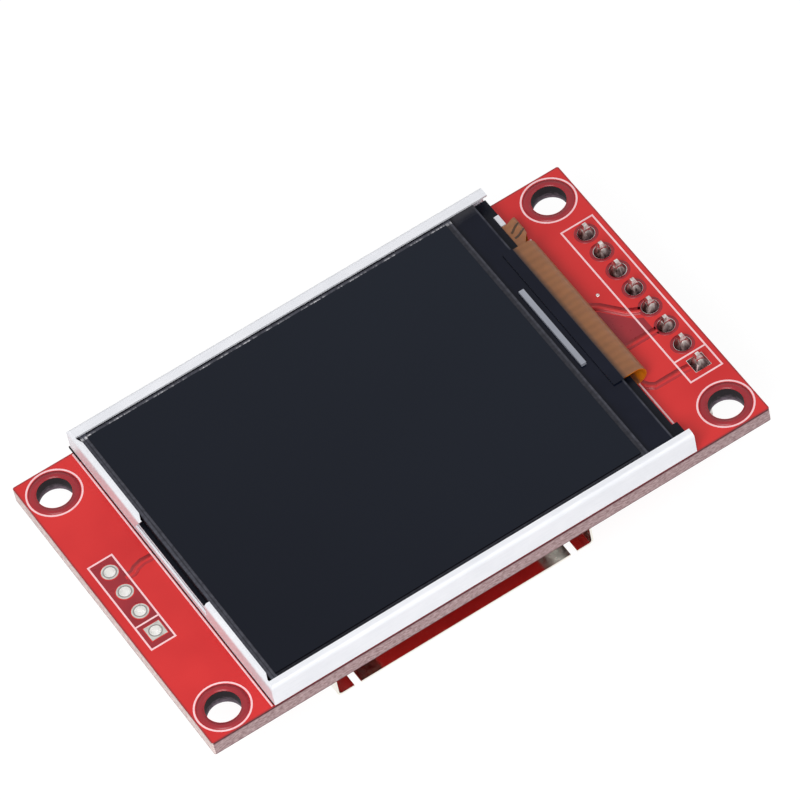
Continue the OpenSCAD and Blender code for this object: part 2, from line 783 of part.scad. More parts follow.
// Places where the conductors of the cable and of the diodes' tail meet the board
module flex_ends() {
    for (y = row(flex_joints, flex_pitch))
        translate([tray_x1 - flex_under, flex_y + y, 0]) children();
    for (y = row(2, tail_w/2))
        translate([tray_x1 - tail_under, (tail_y0 + tail_y1)/2 + y, 0]) children();
}

module flex_lands() {
    color("silver") flex_ends() translate([-flex_toe, -flex_land_w/2, 0])
        cube([flex_land_l, flex_land_w, land_t]);
}

// A wedge of solder against the end of each conductor
module flex_solder() {
    color("lightgray") flex_ends() translate([0, flex_land_w*0.4, land_t]) rotate([90, 0, 0])
        linear_extrude(height = flex_land_w*0.8)
            polygon([[-flex_toe*0.8, 0], [0, 0], [0, strip_t], [-strip_t, strip_t*0.8]]);
}

// Steel tray: two side walls and an end wall with lips turned in over the glass
module display_tray() {
    lip_x = tray_x0 + end_lip;
    lip_y = tray_w/2 - side_lip;
    notch_y0 = notch_y - notch_l/2;
    notch_y1 = notch_y + notch_l/2;
    notch_z = z_tray + notch_wall_h;
    slant_d = (end_lip - tray_t)*0.75;
    color("gainsboro") difference() {
        translate([0, far_room/2, 0]) difference() {
            tray_block(tray_x0, tray_x1, tray_w + far_room, z_tray, z_top, tray_r);
            tray_block(tray_x0 + tray_t, tray_x1 + 1, tray_w + far_room - 2*tray_t, z_tray - 1, z_lip,
                       tray_r - tray_t);
        }
        // opening between the lips
        translate([lip_x, -lip_y, z_lip - 1]) cube([tray_x1 - lip_x + 1, 2*lip_y, tray_t + 2]);
        // cut-out in the end wall, slanted at its far end
        translate([tray_x0 - 1, 0, 0]) rotate([90, 0, 90]) linear_extrude(height = end_lip + 2)
            polygon([[notch_y0, notch_z], [notch_y1 + notch_slant, notch_z], [notch_y1, z_top],
                     [notch_y1, z_top + 1], [notch_y0, z_top + 1]]);
        // slanted corners of the two end lips
        for (p = [[-lip_y, 1], [notch_y1, 1], [lip_y, -1]])
            translate([lip_x, p[0], z_lip - 0.5]) linear_extrude(height = tray_t + 1)
                polygon([[eps, -p[1]*eps], [eps, p[1]*flap_slant], [0, p[1]*flap_slant],
                         [-slant_d, p[1]*flap_slant*0.25], [-slant_d, -p[1]*eps]]);
    }
}

// ---- card socket, drawn upwards and turned on to the underside ----

// Cross-section of the space inside the cover
module socket_inside(grow) {
    w = socket_w - 2*cover_t + 2*grow;
    h = socket_h - cover_t + grow;
    r = cover_r - cover_t + grow;
    translate([-w/2, 0]) square([w, h - r]);
    translate([-w/2 + r, 0]) square([w - 2*r, h]);
    for (side = [-1, 1])
        translate([side*(w/2 - r), h - r]) circle(r);
}

// Extrudes a cross-section drawn about the socket's middle from y0 to y1
module socket_run(y0, y1) {
    translate([socket_x, y1, 0]) rotate([90, 0, 0]) linear_extrude(height = y1 - y0) children();
}

// Black plastic body: rails, contact floor and back bar
module socket_base() {
    slot_len = spring_l + bow_l;
    color("#1d1d20") underside() {
        difference() {
            socket_run(rail_y0, socket_y1) socket_inside(0);
            // room for the card, and the open stretch behind the mouth
            translate([socket_x - slot_w/2, rail_y0 - 1, floor_t])
                cube([slot_w, bar_y0 - rail_y0 + 1, slot_h + 1]);
            translate([socket_x - slot_w/2, rail_y0 - 1, -1])
                cube([slot_w, floor_y0 - rail_y0 + 1, floor_t + 2]);
            // slots for the contact springs and their tails
            for (x = contact_xs) {
                translate([x - contact_w/2 - land_side, bar_y0 - slot_len, -1])
                    cube([contact_w + 2*land_side, slot_len, floor_t + 2]);
                translate([x - contact_w/2, bar_y0 - eps, -1])
                    cube([contact_w, bar_l + 1, 1 + land_t + contact_t]);
            }
            // pockets for the two switch springs
            for (side = [0, 1])
                translate([socket_x, 0, 0]) mirror([side, 0, 0])
                    translate([slot_w/2 - eps, bar_y0 - switch_l, -1])
                        cube([rail_w/2 + eps, switch_l + bar_l + 1, 1 + floor_t + switch_h + switch_t]);
        }
        for (side = [-1, 1])
            translate([socket_x + side*peg_x, peg_y, -peg_l]) cylinder(h = peg_l + floor_t, d = peg_d);
    }
}

// Sheet-metal cover with slit mouth corners, two spring tongues and four feet
module socket_cover() {
    color("silver") underside() {
        difference() {
            union() {
                socket_run(socket_y0, cover_y1) difference() {
                    socket_inside(cover_t);
                    socket_inside(0);
                    translate([-socket_w, -1]) square([2*socket_w, 1 + cover_clear]);
                }
                for (side = [0, 1], y = foot_y)
                    translate([socket_x, y - foot_w/2, land_t]) mirror([side, 0, 0])
                        translate([socket_w/2 - cover_t/2, 0, 0])
                            cube([foot_l + cover_t/2, foot_w, cover_t]);
            }
            for (side = [-1, 1]) {
                translate([socket_x + side*(finger_x + finger_w/2) - finger_w/2, socket_y0 - 1, floor_t])
                    cube([finger_w, finger_l + 1, slot_h + 1]);
                tongue_slot(socket_x + side*tongue_x);
            }
        }
    }
}

// U-shaped slit that frees a spring tongue in the cover
module tongue_slot(x) {
    translate([x - tongue_w/2 - tongue_slit, socket_y0 + tongue_back, floor_t + slot_h - cover_t])
        difference() {
            cube([tongue_w + 2*tongue_slit, tongue_l + tongue_slit, 3*cover_t]);
            translate([tongue_slit, tongue_slit, -1]) cube([tongue_w, tongue_l + 1, 3*cover_t + 2]);
        }
}

// One spring per contact: tail on its land, then a bowed beam into the slot
module socket_contacts() {
    z0 = land_t;
    bow = floor_t + bow_h;
    tip_y = bar_y0 - spring_l;
    beam = [[socket_y1 + tail_l, z0], [bar_y0 - bow_h, z0], [tip_y + 2*bow_l + bow_h, bow],
            [tip_y + bow_l + bow_h, bow], [tip_y, floor_t]];
    color("goldenrod") underside() for (x = contact_xs)
        translate([x - contact_w/2, 0, 0]) rotate([90, 0, 90]) linear_extrude(height = contact_w)
            polygon(thick_line(beam, [0, contact_t]));
}

// Springs that sense the card and its lock, one in a pocket of each rail
module switch_contacts() {
    t = switch_t;
    x = slot_w/2 + rail_w/2 - t;
    bow = [[x, bar_y0 + switch_back], [x, bar_y0 - 0.1*switch_l],
           [x - rail_w/2 - switch_bow, bar_y0 - 0.6*switch_l],
           [x - rail_w/2 + switch_t, bar_y0 - 0.9*switch_l]];
    color("goldenrod") underside() for (side = [0, 1])
        translate([socket_x, 0, 0]) mirror([side, 0, 0]) {
            translate([0, 0, floor_t]) linear_extrude(height = switch_h) polygon(thick_line(bow, [t, 0]));
            translate([x, bar_y0 + foot_in, land_t]) cube([t, switch_back - foot_in, floor_t]);
            translate([x - foot_in, bar_y0 + foot_in, land_t])
                cube([foot_in + t, socket_y1 + tail_l - bar_y0 - foot_in, t]);
        }
}

// Lands for the contact tails, the switch springs and the cover's feet
module socket_lands() {
    y0 = socket_y1 + 2*land_side;
    l = tail_l - 2*land_side + land_end + land_side;
    color("silver") underside() {
        for (x = contact_xs)
            translate([x - contact_w/2 - land_side, y0, 0]) cube([contact_w + 2*land_side, l, land_t]);
        for (side = [0, 1])
            translate([socket_x, 0, 0]) mirror([side, 0, 0]) {
                translate([slot_w/2 + rail_w/2 - foot_in - switch_t - land_side, y0, 0])
                    cube([foot_in + switch_t + 2*land_side, l, land_t]);
                for (y = foot_y)
                    translate([socket_w/2 - cover_t/2, y - foot_w/2 - foot_margin, 0])
                        cube([foot_l + cover_t/2 + foot_toe, foot_w + 2*foot_margin, land_t]);
            }
    }
}

// A wedge of solder at the end of each tail and foot
module socket_solder() {
    color("lightgray") underside() {
        for (x = contact_xs)
            translate([x, socket_y1 + tail_l, land_t]) fillet(contact_w, contact_t);
        for (side = [0, 1])
            translate([socket_x, 0, 0]) mirror([side, 0, 0]) {
                translate([slot_w/2 + rail_w/2 - (foot_in + switch_t)/2, socket_y1 + tail_l, land_t])
                    fillet(foot_in + switch_t, switch_t);
                for (y = foot_y)
                    translate([socket_w/2 + foot_l, y, land_t]) rotate([0, 0, -90]) fillet(foot_w, cover_t);
            }
    }
}

// ---- small parts ----

// Body of a two-ended part, lying along X on its lands
module chip_body(l, w, h) {
    translate([-l/2 + cap_l, -w/2, land_t]) cube([l - 2*cap_l, w, h]);
}

module chip_caps(l, w, h) {
    for (side = [-1, 1])
        translate([side*(l - cap_l)/2 - cap_l/2, -w/2, land_t]) cube([cap_l, w, h]);
}

module chip_lands(l, w) {
    for (side = [-1, 1])
        translate([side*(l/2 + cap_land_toe - cap_land_l/2) - cap_land_l/2, -w/2 - land_side/2, 0])
            cube([cap_land_l, w + land_side, land_t]);
}

module chip_solder(l, w, h) {
    for (side = [-1, 1])
        translate([side*l/2, 0, land_t]) rotate([0, 0, -90*side]) fillet(w, h*0.6);
}

// Wedge of solder that rises against a face at y = 0 and runs out to +Y
module fillet(w, h) {
    translate([-w/2, 0, 0]) rotate([90, 0, 90]) linear_extrude(height = w)
        polygon([[0, 0], [fillet_w, 0], [fillet_w*0.45, h*0.35], [0, h]]);
}

module capacitor_bodies() {
    color("#b08d62") underside() for (p = capacitor_at)
        translate(p) chip_body(capacitor_l, capacitor_w, capacitor_h);
}

module capacitor_caps() {
    color("silver") underside() for (p = capacitor_at)
        translate(p) chip_caps(capacitor_l, capacitor_w, capacitor_h);
}

module resistor_bodies() {
    color("#26262a") underside() for (p = resistor_at)
        translate(p) chip_body(resistor_l, resistor_w, resistor_h);
}

module resistor_caps() {
    color("silver") underside() for (p = resistor_at)
        translate(p) chip_caps(resistor_l, resistor_w, resistor_h);
}

// Moulded body with sides that slope both ways from the level of the leads
module regulator_body() {
    z0 = land_t + body_gap;
    z1 = z0 + regulator_h;
    slope = body_slope;
    half = regulator_w/2;
    color("#232327") underside() translate([regulator_at[0], regulator_at[1] + regulator_l/2, 0])
        rotate([90, 0, 0]) linear_extrude(height = regulator_l)
            polygon([[-half + slope, z0], [half - slope, z0], [half, (z0 + z1)/2], [half - slope, z1],
                     [-half + slope, z1], [-half, (z0 + z1)/2]]);
}

// Bent leads, from the middle of the body down to the lands
module regulator_leads() {
    top = land_t + body_gap + regulator_h/2;
    color("silver") underside() for (p = lead_places)
        translate([regulator_at[0], regulator_at[1] + p[1], 0]) mirror([p[0] < 0 ? 1 : 0, 0, 0])
            translate([regulator_w/2, lead_w/2, 0]) rotate([90, 0, 0]) linear_extrude(height = lead_w)
                polygon([[0, top], [lead_knee, top], [lead_knee + lead_step/3, top - lead_t],
                         [lead_knee + lead_step, land_t + lead_t], [lead_reach, land_t + lead_t],
                         [lead_reach, land_t], [lead_knee, land_t],
                         [lead_knee - lead_step/2, top - lead_t], [0, top - lead_t]]);
}

module part_lands() {
    color("silver") underside() {
        for (p = capacitor_at)
            translate(p) chip_lands(capacitor_l, capacitor_w);
        for (p = resistor_at)
            translate(p) chip_lands(resistor_l, resistor_w);
        for (p = lead_places)
            translate([regulator_at[0], regulator_at[1] + p[1], 0]) mirror([p[0] < 0 ? 1 : 0, 0, 0])
                translate([regulator_w/2 + lead_step, -lead_w/2 - land_side, 0])
                    cube([lead_land_l, lead_w + 2*land_side, land_t]);
        // two open lands of a solder bridge
        for (side = [-1, 1])
            translate([jumper_at[0] + side*(jumper_l + jumper_gap)/2 - jumper_l/2,
                       jumper_at[1] - jumper_w/2, 0])
                cube([jumper_l, jumper_w, land_t]);
    }
}

module part_solder() {
    color("lightgray") underside() {
        for (p = capacitor_at)
            translate(p) chip_solder(capacitor_l, capacitor_w, capacitor_h);
        for (p = resistor_at)
            translate(p) chip_solder(resistor_l, resistor_w, resistor_h);
        for (p = lead_places)
            translate([regulator_at[0] + p[0]*(regulator_w/2 + lead_reach), regulator_at[1] + p[1], land_t])
                rotate([0, 0, -90*p[0]]) fillet(lead_w, lead_t);
    }
}

board();
board_legend();
header_lands();
signal_lands();
header_pins();
header_housing();
header_solder();
mounting_tape();
reflector_sheet();
light_guide();
diffuser_sheet();
lower_prism_sheet();
upper_prism_sheet();
backlight_frame();
backlight_diodes();
diode_cable();
shading_tape();
rear_polariser();
rear_glass();
front_glass();
front_polariser();
driver_chip();
flex_cable();
bond_cover();
flex_lands();
flex_solder();
display_tray();
socket_base();
socket_cover();
socket_contacts();
switch_contacts();
socket_lands();
socket_solder();
regulator_body();
regulator_leads();
capacitor_bodies();
capacitor_caps();
resistor_bodies();
resistor_caps();
part_lands();
part_solder();
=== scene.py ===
import math
import random
import bpy
import bmesh
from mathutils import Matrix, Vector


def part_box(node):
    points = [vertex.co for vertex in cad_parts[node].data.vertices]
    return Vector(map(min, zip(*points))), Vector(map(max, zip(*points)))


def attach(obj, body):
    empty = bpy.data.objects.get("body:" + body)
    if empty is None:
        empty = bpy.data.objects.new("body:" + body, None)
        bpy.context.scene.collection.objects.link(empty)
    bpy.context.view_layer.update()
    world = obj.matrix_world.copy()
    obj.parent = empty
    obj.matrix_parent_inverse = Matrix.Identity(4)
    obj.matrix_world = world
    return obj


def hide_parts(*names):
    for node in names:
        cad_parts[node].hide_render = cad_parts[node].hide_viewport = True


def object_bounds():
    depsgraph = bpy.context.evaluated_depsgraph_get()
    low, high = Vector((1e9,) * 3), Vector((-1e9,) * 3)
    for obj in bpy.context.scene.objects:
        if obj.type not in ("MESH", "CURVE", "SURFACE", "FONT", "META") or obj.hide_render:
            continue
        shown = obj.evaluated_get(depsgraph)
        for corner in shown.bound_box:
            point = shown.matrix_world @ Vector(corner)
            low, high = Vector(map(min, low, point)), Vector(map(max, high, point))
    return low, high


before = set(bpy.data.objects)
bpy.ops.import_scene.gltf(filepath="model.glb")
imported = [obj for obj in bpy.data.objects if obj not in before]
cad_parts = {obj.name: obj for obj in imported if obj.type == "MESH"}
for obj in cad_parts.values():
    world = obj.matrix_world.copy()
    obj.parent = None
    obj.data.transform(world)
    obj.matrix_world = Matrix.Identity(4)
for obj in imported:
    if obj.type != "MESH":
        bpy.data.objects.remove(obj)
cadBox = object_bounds()
mm = 0.001
print("frame loaded,", len(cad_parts), "nodes")

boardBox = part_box("board")
boardTop = boardBox[1][2]
boardBottom = boardBox[0][2]
holeInset = 2.7 * mm        # mounting holes, from both edges
holeX, holeY = boardBox[1][0] - holeInset, boardBox[1][1] - holeInset
headerX = sum(c[0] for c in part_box("header_pins")) / 2
signalX = sum(c[0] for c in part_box("signal_lands")) / 2
pitch = 2.54 * mm
headerCount, signalCount = 8, 4
headerRow = [(i - (headerCount - 1) / 2) * pitch for i in range(headerCount)]
signalRow = [(i - (signalCount - 1) / 2) * pitch for i in range(signalCount)]


# node helpers

def addNode(tree, kind, inputs=None, **settings):
    node = tree.nodes.new(kind)
    for key, value in settings.items():
        setattr(node, key, value)
    for key, value in (inputs or {}).items():
        if isinstance(value, bpy.types.NodeSocket):
            tree.links.new(value, node.inputs[key])
        else:
            node.inputs[key].default_value = value
    return node


def mathOf(tree, operation, a, b=0.0, clamp=False):
    return addNode(tree, "ShaderNodeMath", {0: a, 1: b}, operation=operation, use_clamp=clamp).outputs[0]


def mixOf(tree, factor, a, b):
    return addNode(tree, "ShaderNodeMix", {0: factor, 6: a, 7: b}, data_type="RGBA").outputs[2]


def tint(color):
    return (*color, 1)


def stepOf(tree, value, low, high, toLow=0.0, toHigh=1.0):
    inputs = {"Value": value, "From Min": low, "From Max": high, "To Min": toLow, "To Max": toHigh}
    return addNode(tree, "ShaderNodeMapRange", inputs).outputs[0]


def bandOf(tree, value, centre, reach):
    # one on the centre, falling to nothing at the reach
    away = mathOf(tree, "ABSOLUTE", mathOf(tree, "SUBTRACT", value, centre))
    return stepOf(tree, away, reach * 0.4, reach, 1.0, 0.0)


def noiseOf(tree, vector, scale, detail=3.0, stretch=None):
    if stretch:
        vector = addNode(tree, "ShaderNodeMapping", {"Vector": vector, "Scale": stretch}).outputs[0]
    inputs = {"Vector": vector, "Scale": scale, "Detail": detail}
    return addNode(tree, "ShaderNodeTexNoise", inputs).outputs[0]


def axesOf(tree, vector):
    return addNode(tree, "ShaderNodeSeparateXYZ", {0: vector}).outputs


def lengthOf(tree, dx, dy):
    squares = mathOf(tree, "ADD", mathOf(tree, "MULTIPLY", dx, dx), mathOf(tree, "MULTIPLY", dy, dy))
    return mathOf(tree, "SQRT", squares)


def startMaterial(name, **fixed):
    mat = bpy.data.materials.new(name)
    mat.use_nodes = True
    tree = mat.node_tree
    tree.nodes.clear()
    shader = addNode(tree, "ShaderNodeBsdfPrincipled")
    addNode(tree, "ShaderNodeOutputMaterial", {"Surface": shader.outputs[0]})
    coords = addNode(tree, "ShaderNodeTexCoord")
    toMm = {"Vector": coords.outputs["Object"], "Scale": (1 / mm, 1 / mm, 1 / mm)}
    inMm = addNode(tree, "ShaderNodeMapping", toMm)
    for key, value in fixed.items():
        shader.inputs[key].default_value = value
    return mat, tree, shader, inMm.outputs[0], coords.outputs["Normal"]


def feed(tree, shader, **sources):
    for key, value in sources.items():
        tree.links.new(value, shader.inputs[key.replace("_", " ")])


def bumpOf(tree, height, strength, depth):
    inputs = {"Height": height, "Strength": strength, "Distance": depth}
    return addNode(tree, "ShaderNodeBump", inputs).outputs[0]


def plainFinish(name, look):
    # two tones in patches, roughness that varies, and a fine grain
    fixed = {"Metallic": look.get("metal", 0.0), "Specular IOR Level": look.get("gloss", 0.5)}
    mat, tree, shader, p, _ = startMaterial(name, **fixed)
    patches = noiseOf(tree, p, look.get("patch", 0.5), 4.0, look.get("stretch"))
    grain = noiseOf(tree, p, look.get("grain", 6.0), 2.0, look.get("stretch"))
    tone = stepOf(tree, patches, 0.35, 0.65)
    color = mixOf(tree, tone, tint(look["dark"]), tint(look["light"]))
    rough = stepOf(tree, grain, 0.3, 0.7, *look["rough"])
    feed(tree, shader, Base_Color=color, Roughness=rough,
         Normal=bumpOf(tree, grain, look.get("bump", 0.2), look.get("depth", 0.01) * mm))
    return mat


# geometry node helpers

def startTree(name, inputs):
    tree = bpy.data.node_groups.new(name, "GeometryNodeTree")
    tree.interface.new_socket(name="Geometry", in_out="INPUT", socket_type="NodeSocketGeometry")
    for label, kind in inputs:
        tree.interface.new_socket(name=label, in_out="INPUT", socket_type="NodeSocket" + kind)
    tree.interface.new_socket(name="Geometry", in_out="OUTPUT", socket_type="NodeSocketGeometry")
    return tree, addNode(tree, "NodeGroupInput").outputs


def endTree(tree, geometry, material):
    real = addNode(tree, "GeometryNodeRealizeInstances", {0: geometry}).outputs[0]
    done = addNode(tree, "GeometryNodeSetMaterial", {"Geometry": real, "Material": material}).outputs[0]
    addNode(tree, "NodeGroupOutput", {0: done})
    return tree


def runTree(name, mesh, tree, values, replaces=()):
    source = bpy.data.objects.new(name + "Source", mesh)
    bpy.context.scene.collection.objects.link(source)
    modifier = source.modifiers.new("build", "NODES")
    modifier.node_group = tree
    for item in tree.interface.items_tree:
        if item.in_out == "INPUT" and item.name in values:
            modifier[item.identifier] = values[item.name]
    graph = bpy.context.evaluated_depsgraph_get()
    plain = bpy.data.meshes.new_from_object(source.evaluated_get(graph))
    source.modifiers.remove(modifier)
    bpy.data.objects.remove(source)
    return addPiece(name, plain, replaces)


def addPiece(name, mesh, replaces=()):
    mesh.name = name
    piece = bpy.data.objects.new(name, mesh)
    bpy.context.scene.collection.objects.link(piece)
    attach(piece, "root")
    if replaces:
        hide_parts(*replaces)
    return piece


def pathMesh(name, paths):
    # polylines as edges, for trees that follow them
    points, edges = [], []
    for path in paths:
        first = len(points)
        points += path
        edges += [(i, i + 1) for i in range(first, len(points) - 1)]
    mesh = bpy.data.meshes.new(name)
    mesh.from_pydata(points, edges, [])
    return mesh


def pointMesh(name, points):
    mesh = bpy.data.meshes.new(name)
    mesh.from_pydata(points, [], [])
    return mesh


# finishes

finishes = {
    "legendPrint": {"dark": (0.96, 0.58, 0.61), "light": (1.0, 0.70, 0.72), "rough": (0.45, 0.6),
                    "patch": 1.5, "gloss": 0.3},
    "tinnedCopper": {"dark": (0.60, 0.60, 0.58), "light": (0.86, 0.86, 0.85), "rough": (0.2, 0.42),
                     "metal": 1.0, "patch": 1.6, "grain": 2.5, "bump": 0.35, "depth": 0.03},
    "pinMetal": {"dark": (0.38, 0.33, 0.31), "light": (0.84, 0.81, 0.79), "rough": (0.18, 0.35),
                 "metal": 1.0, "patch": 2.2, "grain": 4.0, "bump": 0.3, "depth": 0.02},
    "solderMetal": {"dark": (0.30, 0.27, 0.26), "light": (0.78, 0.76, 0.75), "rough": (0.15, 0.35),
                    "metal": 1.0, "patch": 1.3, "grain": 2.2, "bump": 0.5, "depth": 0.05},
    "blackMoulding": {"dark": (0.009, 0.009, 0.010), "light": (0.016, 0.016, 0.018),
                      "rough": (0.42, 0.6), "gloss": 0.35},
    "foamTape": {"dark": (0.004, 0.004, 0.005), "light": (0.014, 0.013, 0.015),
                 "rough": (0.75, 0.95), "grain": 12.0, "bump": 0.8, "depth": 0.03, "gloss": 0.15},
    "blackFilm": {"dark": (0.006, 0.007, 0.012), "light": (0.008, 0.009, 0.014),
                  "rough": (0.25, 0.4), "gloss": 0.1},
    "whiteMirror": {"dark": (0.86, 0.86, 0.86), "light": (0.93, 0.93, 0.93), "rough": (0.1, 0.2)},
    "clearMoulding": {"dark": (0.78, 0.82, 0.84), "light": (0.86, 0.90, 0.92),
                      "rough": (0.08, 0.16)},
    "milkFilm": {"dark": (0.80, 0.80, 0.82), "light": (0.87, 0.87, 0.88), "rough": (0.5, 0.7)},
    "ribbedFilm": {"dark": (0.62, 0.64, 0.70), "light": (0.76, 0.78, 0.82), "rough": (0.12, 0.3),
                   "grain": 30.0, "stretch": (1.0, 0.02, 1.0), "bump": 0.4},
    "whiteMoulding": {"dark": (0.72, 0.72, 0.76), "light": (0.84, 0.84, 0.87), "rough": (0.4, 0.55),
                      "gloss": 0.4},
    "diodeBody": {"dark": (0.82, 0.78, 0.55), "light": (0.90, 0.87, 0.68), "rough": (0.35, 0.5)},
    "groundSilicon": {"dark": (0.27, 0.285, 0.33), "light": (0.35, 0.365, 0.42),
                      "rough": (0.3, 0.42), "patch": 0.8, "stretch": (1.0, 0.2, 1.0),
                      "gloss": 0.4},
    "brownCeramic": {"dark": (0.30, 0.19, 0.11), "light": (0.40, 0.26, 0.16), "rough": (0.5, 0.7),
                     "patch": 3.0},
    "blackCeramic": {"dark": (0.012, 0.012, 0.014), "light": (0.022, 0.022, 0.024),
                     "rough": (0.3, 0.5)},
    "springMetal": {"dark": (0.66, 0.46, 0.18), "light": (0.86, 0.66, 0.32), "rough": (0.2, 0.35),
                    "metal": 1.0},
    "coverSteel": {"dark": (0.82, 0.79, 0.72), "light": (0.88, 0.86, 0.79), "rough": (0.10, 0.18),
                   "metal": 1.0, "patch": 0.3, "grain": 1.2, "bump": 0.08, "depth": 0.01},
}
mats = {name: plainFinish(name, look) for name, look in finishes.items()}
print("plain finishes:", len(mats))


# solder mask over laminate: red faces, mottled pink edges painted lighter on the end faces and darker on the
# side faces, painted shade on the walls in the mounting holes
boardLook = {
    "mask": ((0.61, 0.021, 0.022), (0.70, 0.030, 0.029)),
    "shadedSideEdge": ((0.27, 0.17, 0.175), (0.50, 0.36, 0.36)),
    "litEndEdge": ((0.60, 0.45, 0.43), (0.92, 0.78, 0.74)),
    # rim: a dark line at the outline, partly ink at the board's edge and partly painted shadow of the gap
    # under the tray
    "rim": (0.09, 0.022, 0.028),
    "outlineFade": (-0.20, -0.04, 0.0, 0.55),
    "topRimShadow": (-0.22, -0.10),
    "lowRim": (boardBottom / mm + 0.10, boardBottom / mm + 0.03),
    "holeShade": ((0.012, 0.008, 0.011), (0.17, 0.13, 0.16)),
    "holeShadeReach": 1.75,
    "holeShadeDepth": (-0.7, -1.4),
}


def boardFinish(look):
    mat, tree, shader, p, normal = startMaterial("boardMask", **{"Specular IOR Level": 0.32})
    axis = axesOf(tree, p)
    facing = [mathOf(tree, "ABSOLUTE", part) for part in axesOf(tree, normal)]
    isFace = mathOf(tree, "GREATER_THAN", facing[2], 0.5)
    isEnd = mathOf(tree, "GREATER_THAN", facing[0], 0.5)
    clouds = stepOf(tree, noiseOf(tree, p, 0.12, 2.0), 0.35, 0.65)
    mask = mixOf(tree, clouds, tint(look["mask"][0]), tint(look["mask"][1]))
    # a dark line along the outline, partly a dark line of ink at the board's edge and partly painted shade
    border = mathOf(tree, "MAXIMUM",
                    mathOf(tree, "SUBTRACT", mathOf(tree, "ABSOLUTE", axis[0]), boardBox[1][0] / mm),
                    mathOf(tree, "SUBTRACT", mathOf(tree, "ABSOLUTE", axis[1]), boardBox[1][1] / mm))
    mask = mixOf(tree, stepOf(tree, border, *look["outlineFade"]), mask, tint(look["rim"]))
    # glass bundles show as short streaks in layers on the cut edge
    streaks = stepOf(tree, noiseOf(tree, p, 2.4, 5.0, (1.0, 1.0, 2.6)), 0.36, 0.64)
    # painted light and shade: the end faces get a much lighter copy of the laminate than the side faces
    shadedSideEdge = mixOf(tree, streaks, tint(look["shadedSideEdge"][0]), tint(look["shadedSideEdge"][1]))
    litEndEdge = mixOf(tree, streaks, tint(look["litEndEdge"][0]), tint(look["litEndEdge"][1]))
    edge = mixOf(tree, isEnd, shadedSideEdge, litEndEdge)
    # the top of the cut edges darkened, partly the dark ink line and partly painted shadow under the tray,
    # weaker on the lit end faces
    ragged = mathOf(tree, "ADD", axis[2], mathOf(tree, "MULTIPLY", streaks, 0.08))
    rimShadowPart = mathOf(tree, "MULTIPLY", stepOf(tree, ragged, *look["topRimShadow"]),
                     stepOf(tree, isEnd, 0.0, 1.0, 1.0, 0.35))
    edge = mixOf(tree, rimShadowPart, edge, tint(look["rim"]))
    edge = mixOf(tree, stepOf(tree, axis[2], *look["lowRim"]), edge, tint(look["rim"]))
    # distance to the nearest mounting hole
    dx = mathOf(tree, "SUBTRACT", mathOf(tree, "ABSOLUTE", axis[0]), holeX / mm)
    dy = mathOf(tree, "SUBTRACT", mathOf(tree, "ABSOLUTE", axis[1]), holeY / mm)
    inHole = mathOf(tree, "LESS_THAN", lengthOf(tree, dx, dy), look["holeShadeReach"])
    # painted shade in the mounting holes: the walls dark at the top, lighter lower down
    drop = mathOf(tree, "ADD", axis[2], mathOf(tree, "MULTIPLY", streaks, 0.35))
    holeShade = mixOf(tree, stepOf(tree, drop, *look["holeShadeDepth"]), tint(look["holeShade"][0]),
                   tint(look["holeShade"][1]))
    edge = mixOf(tree, inHole, edge, holeShade)
    ripple = noiseOf(tree, p, 1.1, 2.0)
    rough = mixOf(tree, isFace, (0.8, 0.8, 0.8, 1), (0.3, 0.3, 0.3, 1))
    height = mathOf(tree, "ADD", mathOf(tree, "MULTIPLY", ripple, isFace),
                    mathOf(tree, "MULTIPLY", streaks, 0.5))
    feed(tree, shader, Base_Color=mixOf(tree, isFace, edge, mask), Roughness=rough,
         Normal=bumpOf(tree, height, 0.12, 0.02 * mm))
    return mat


mats["boardMask"] = boardFinish(boardLook)


# thin sheet steel with a satin zinc coat: fine drawing lines along the walls
trayLook = {"dark": (0.81, 0.82, 0.86), "light": (0.88, 0.885, 0.92), "metal": 0.3,
            "rough": (0.40, 0.52)}


def trayFinish(look):
    mat, tree, shader, p, _ = startMaterial("traySteel", **{"Metallic": look["metal"]})
    lines = noiseOf(tree, p, 5.0, 3.0, (0.08, 1.0, 1.0))
    clouds = noiseOf(tree, p, 0.35, 3.0)
    mixed = mathOf(tree, "ADD", mathOf(tree, "MULTIPLY", lines, 0.4), mathOf(tree, "MULTIPLY", clouds, 0.6))
    color = mixOf(tree, stepOf(tree, mixed, 0.35, 0.65), tint(look["dark"]), tint(look["light"]))
    feed(tree, shader, Base_Color=color, Roughness=stepOf(tree, lines, 0.3, 0.7, *look["rough"]),
         Normal=bumpOf(tree, lines, 0.1, 0.01 * mm))
    return mat


mats["traySteel"] = trayFinish(trayLook)

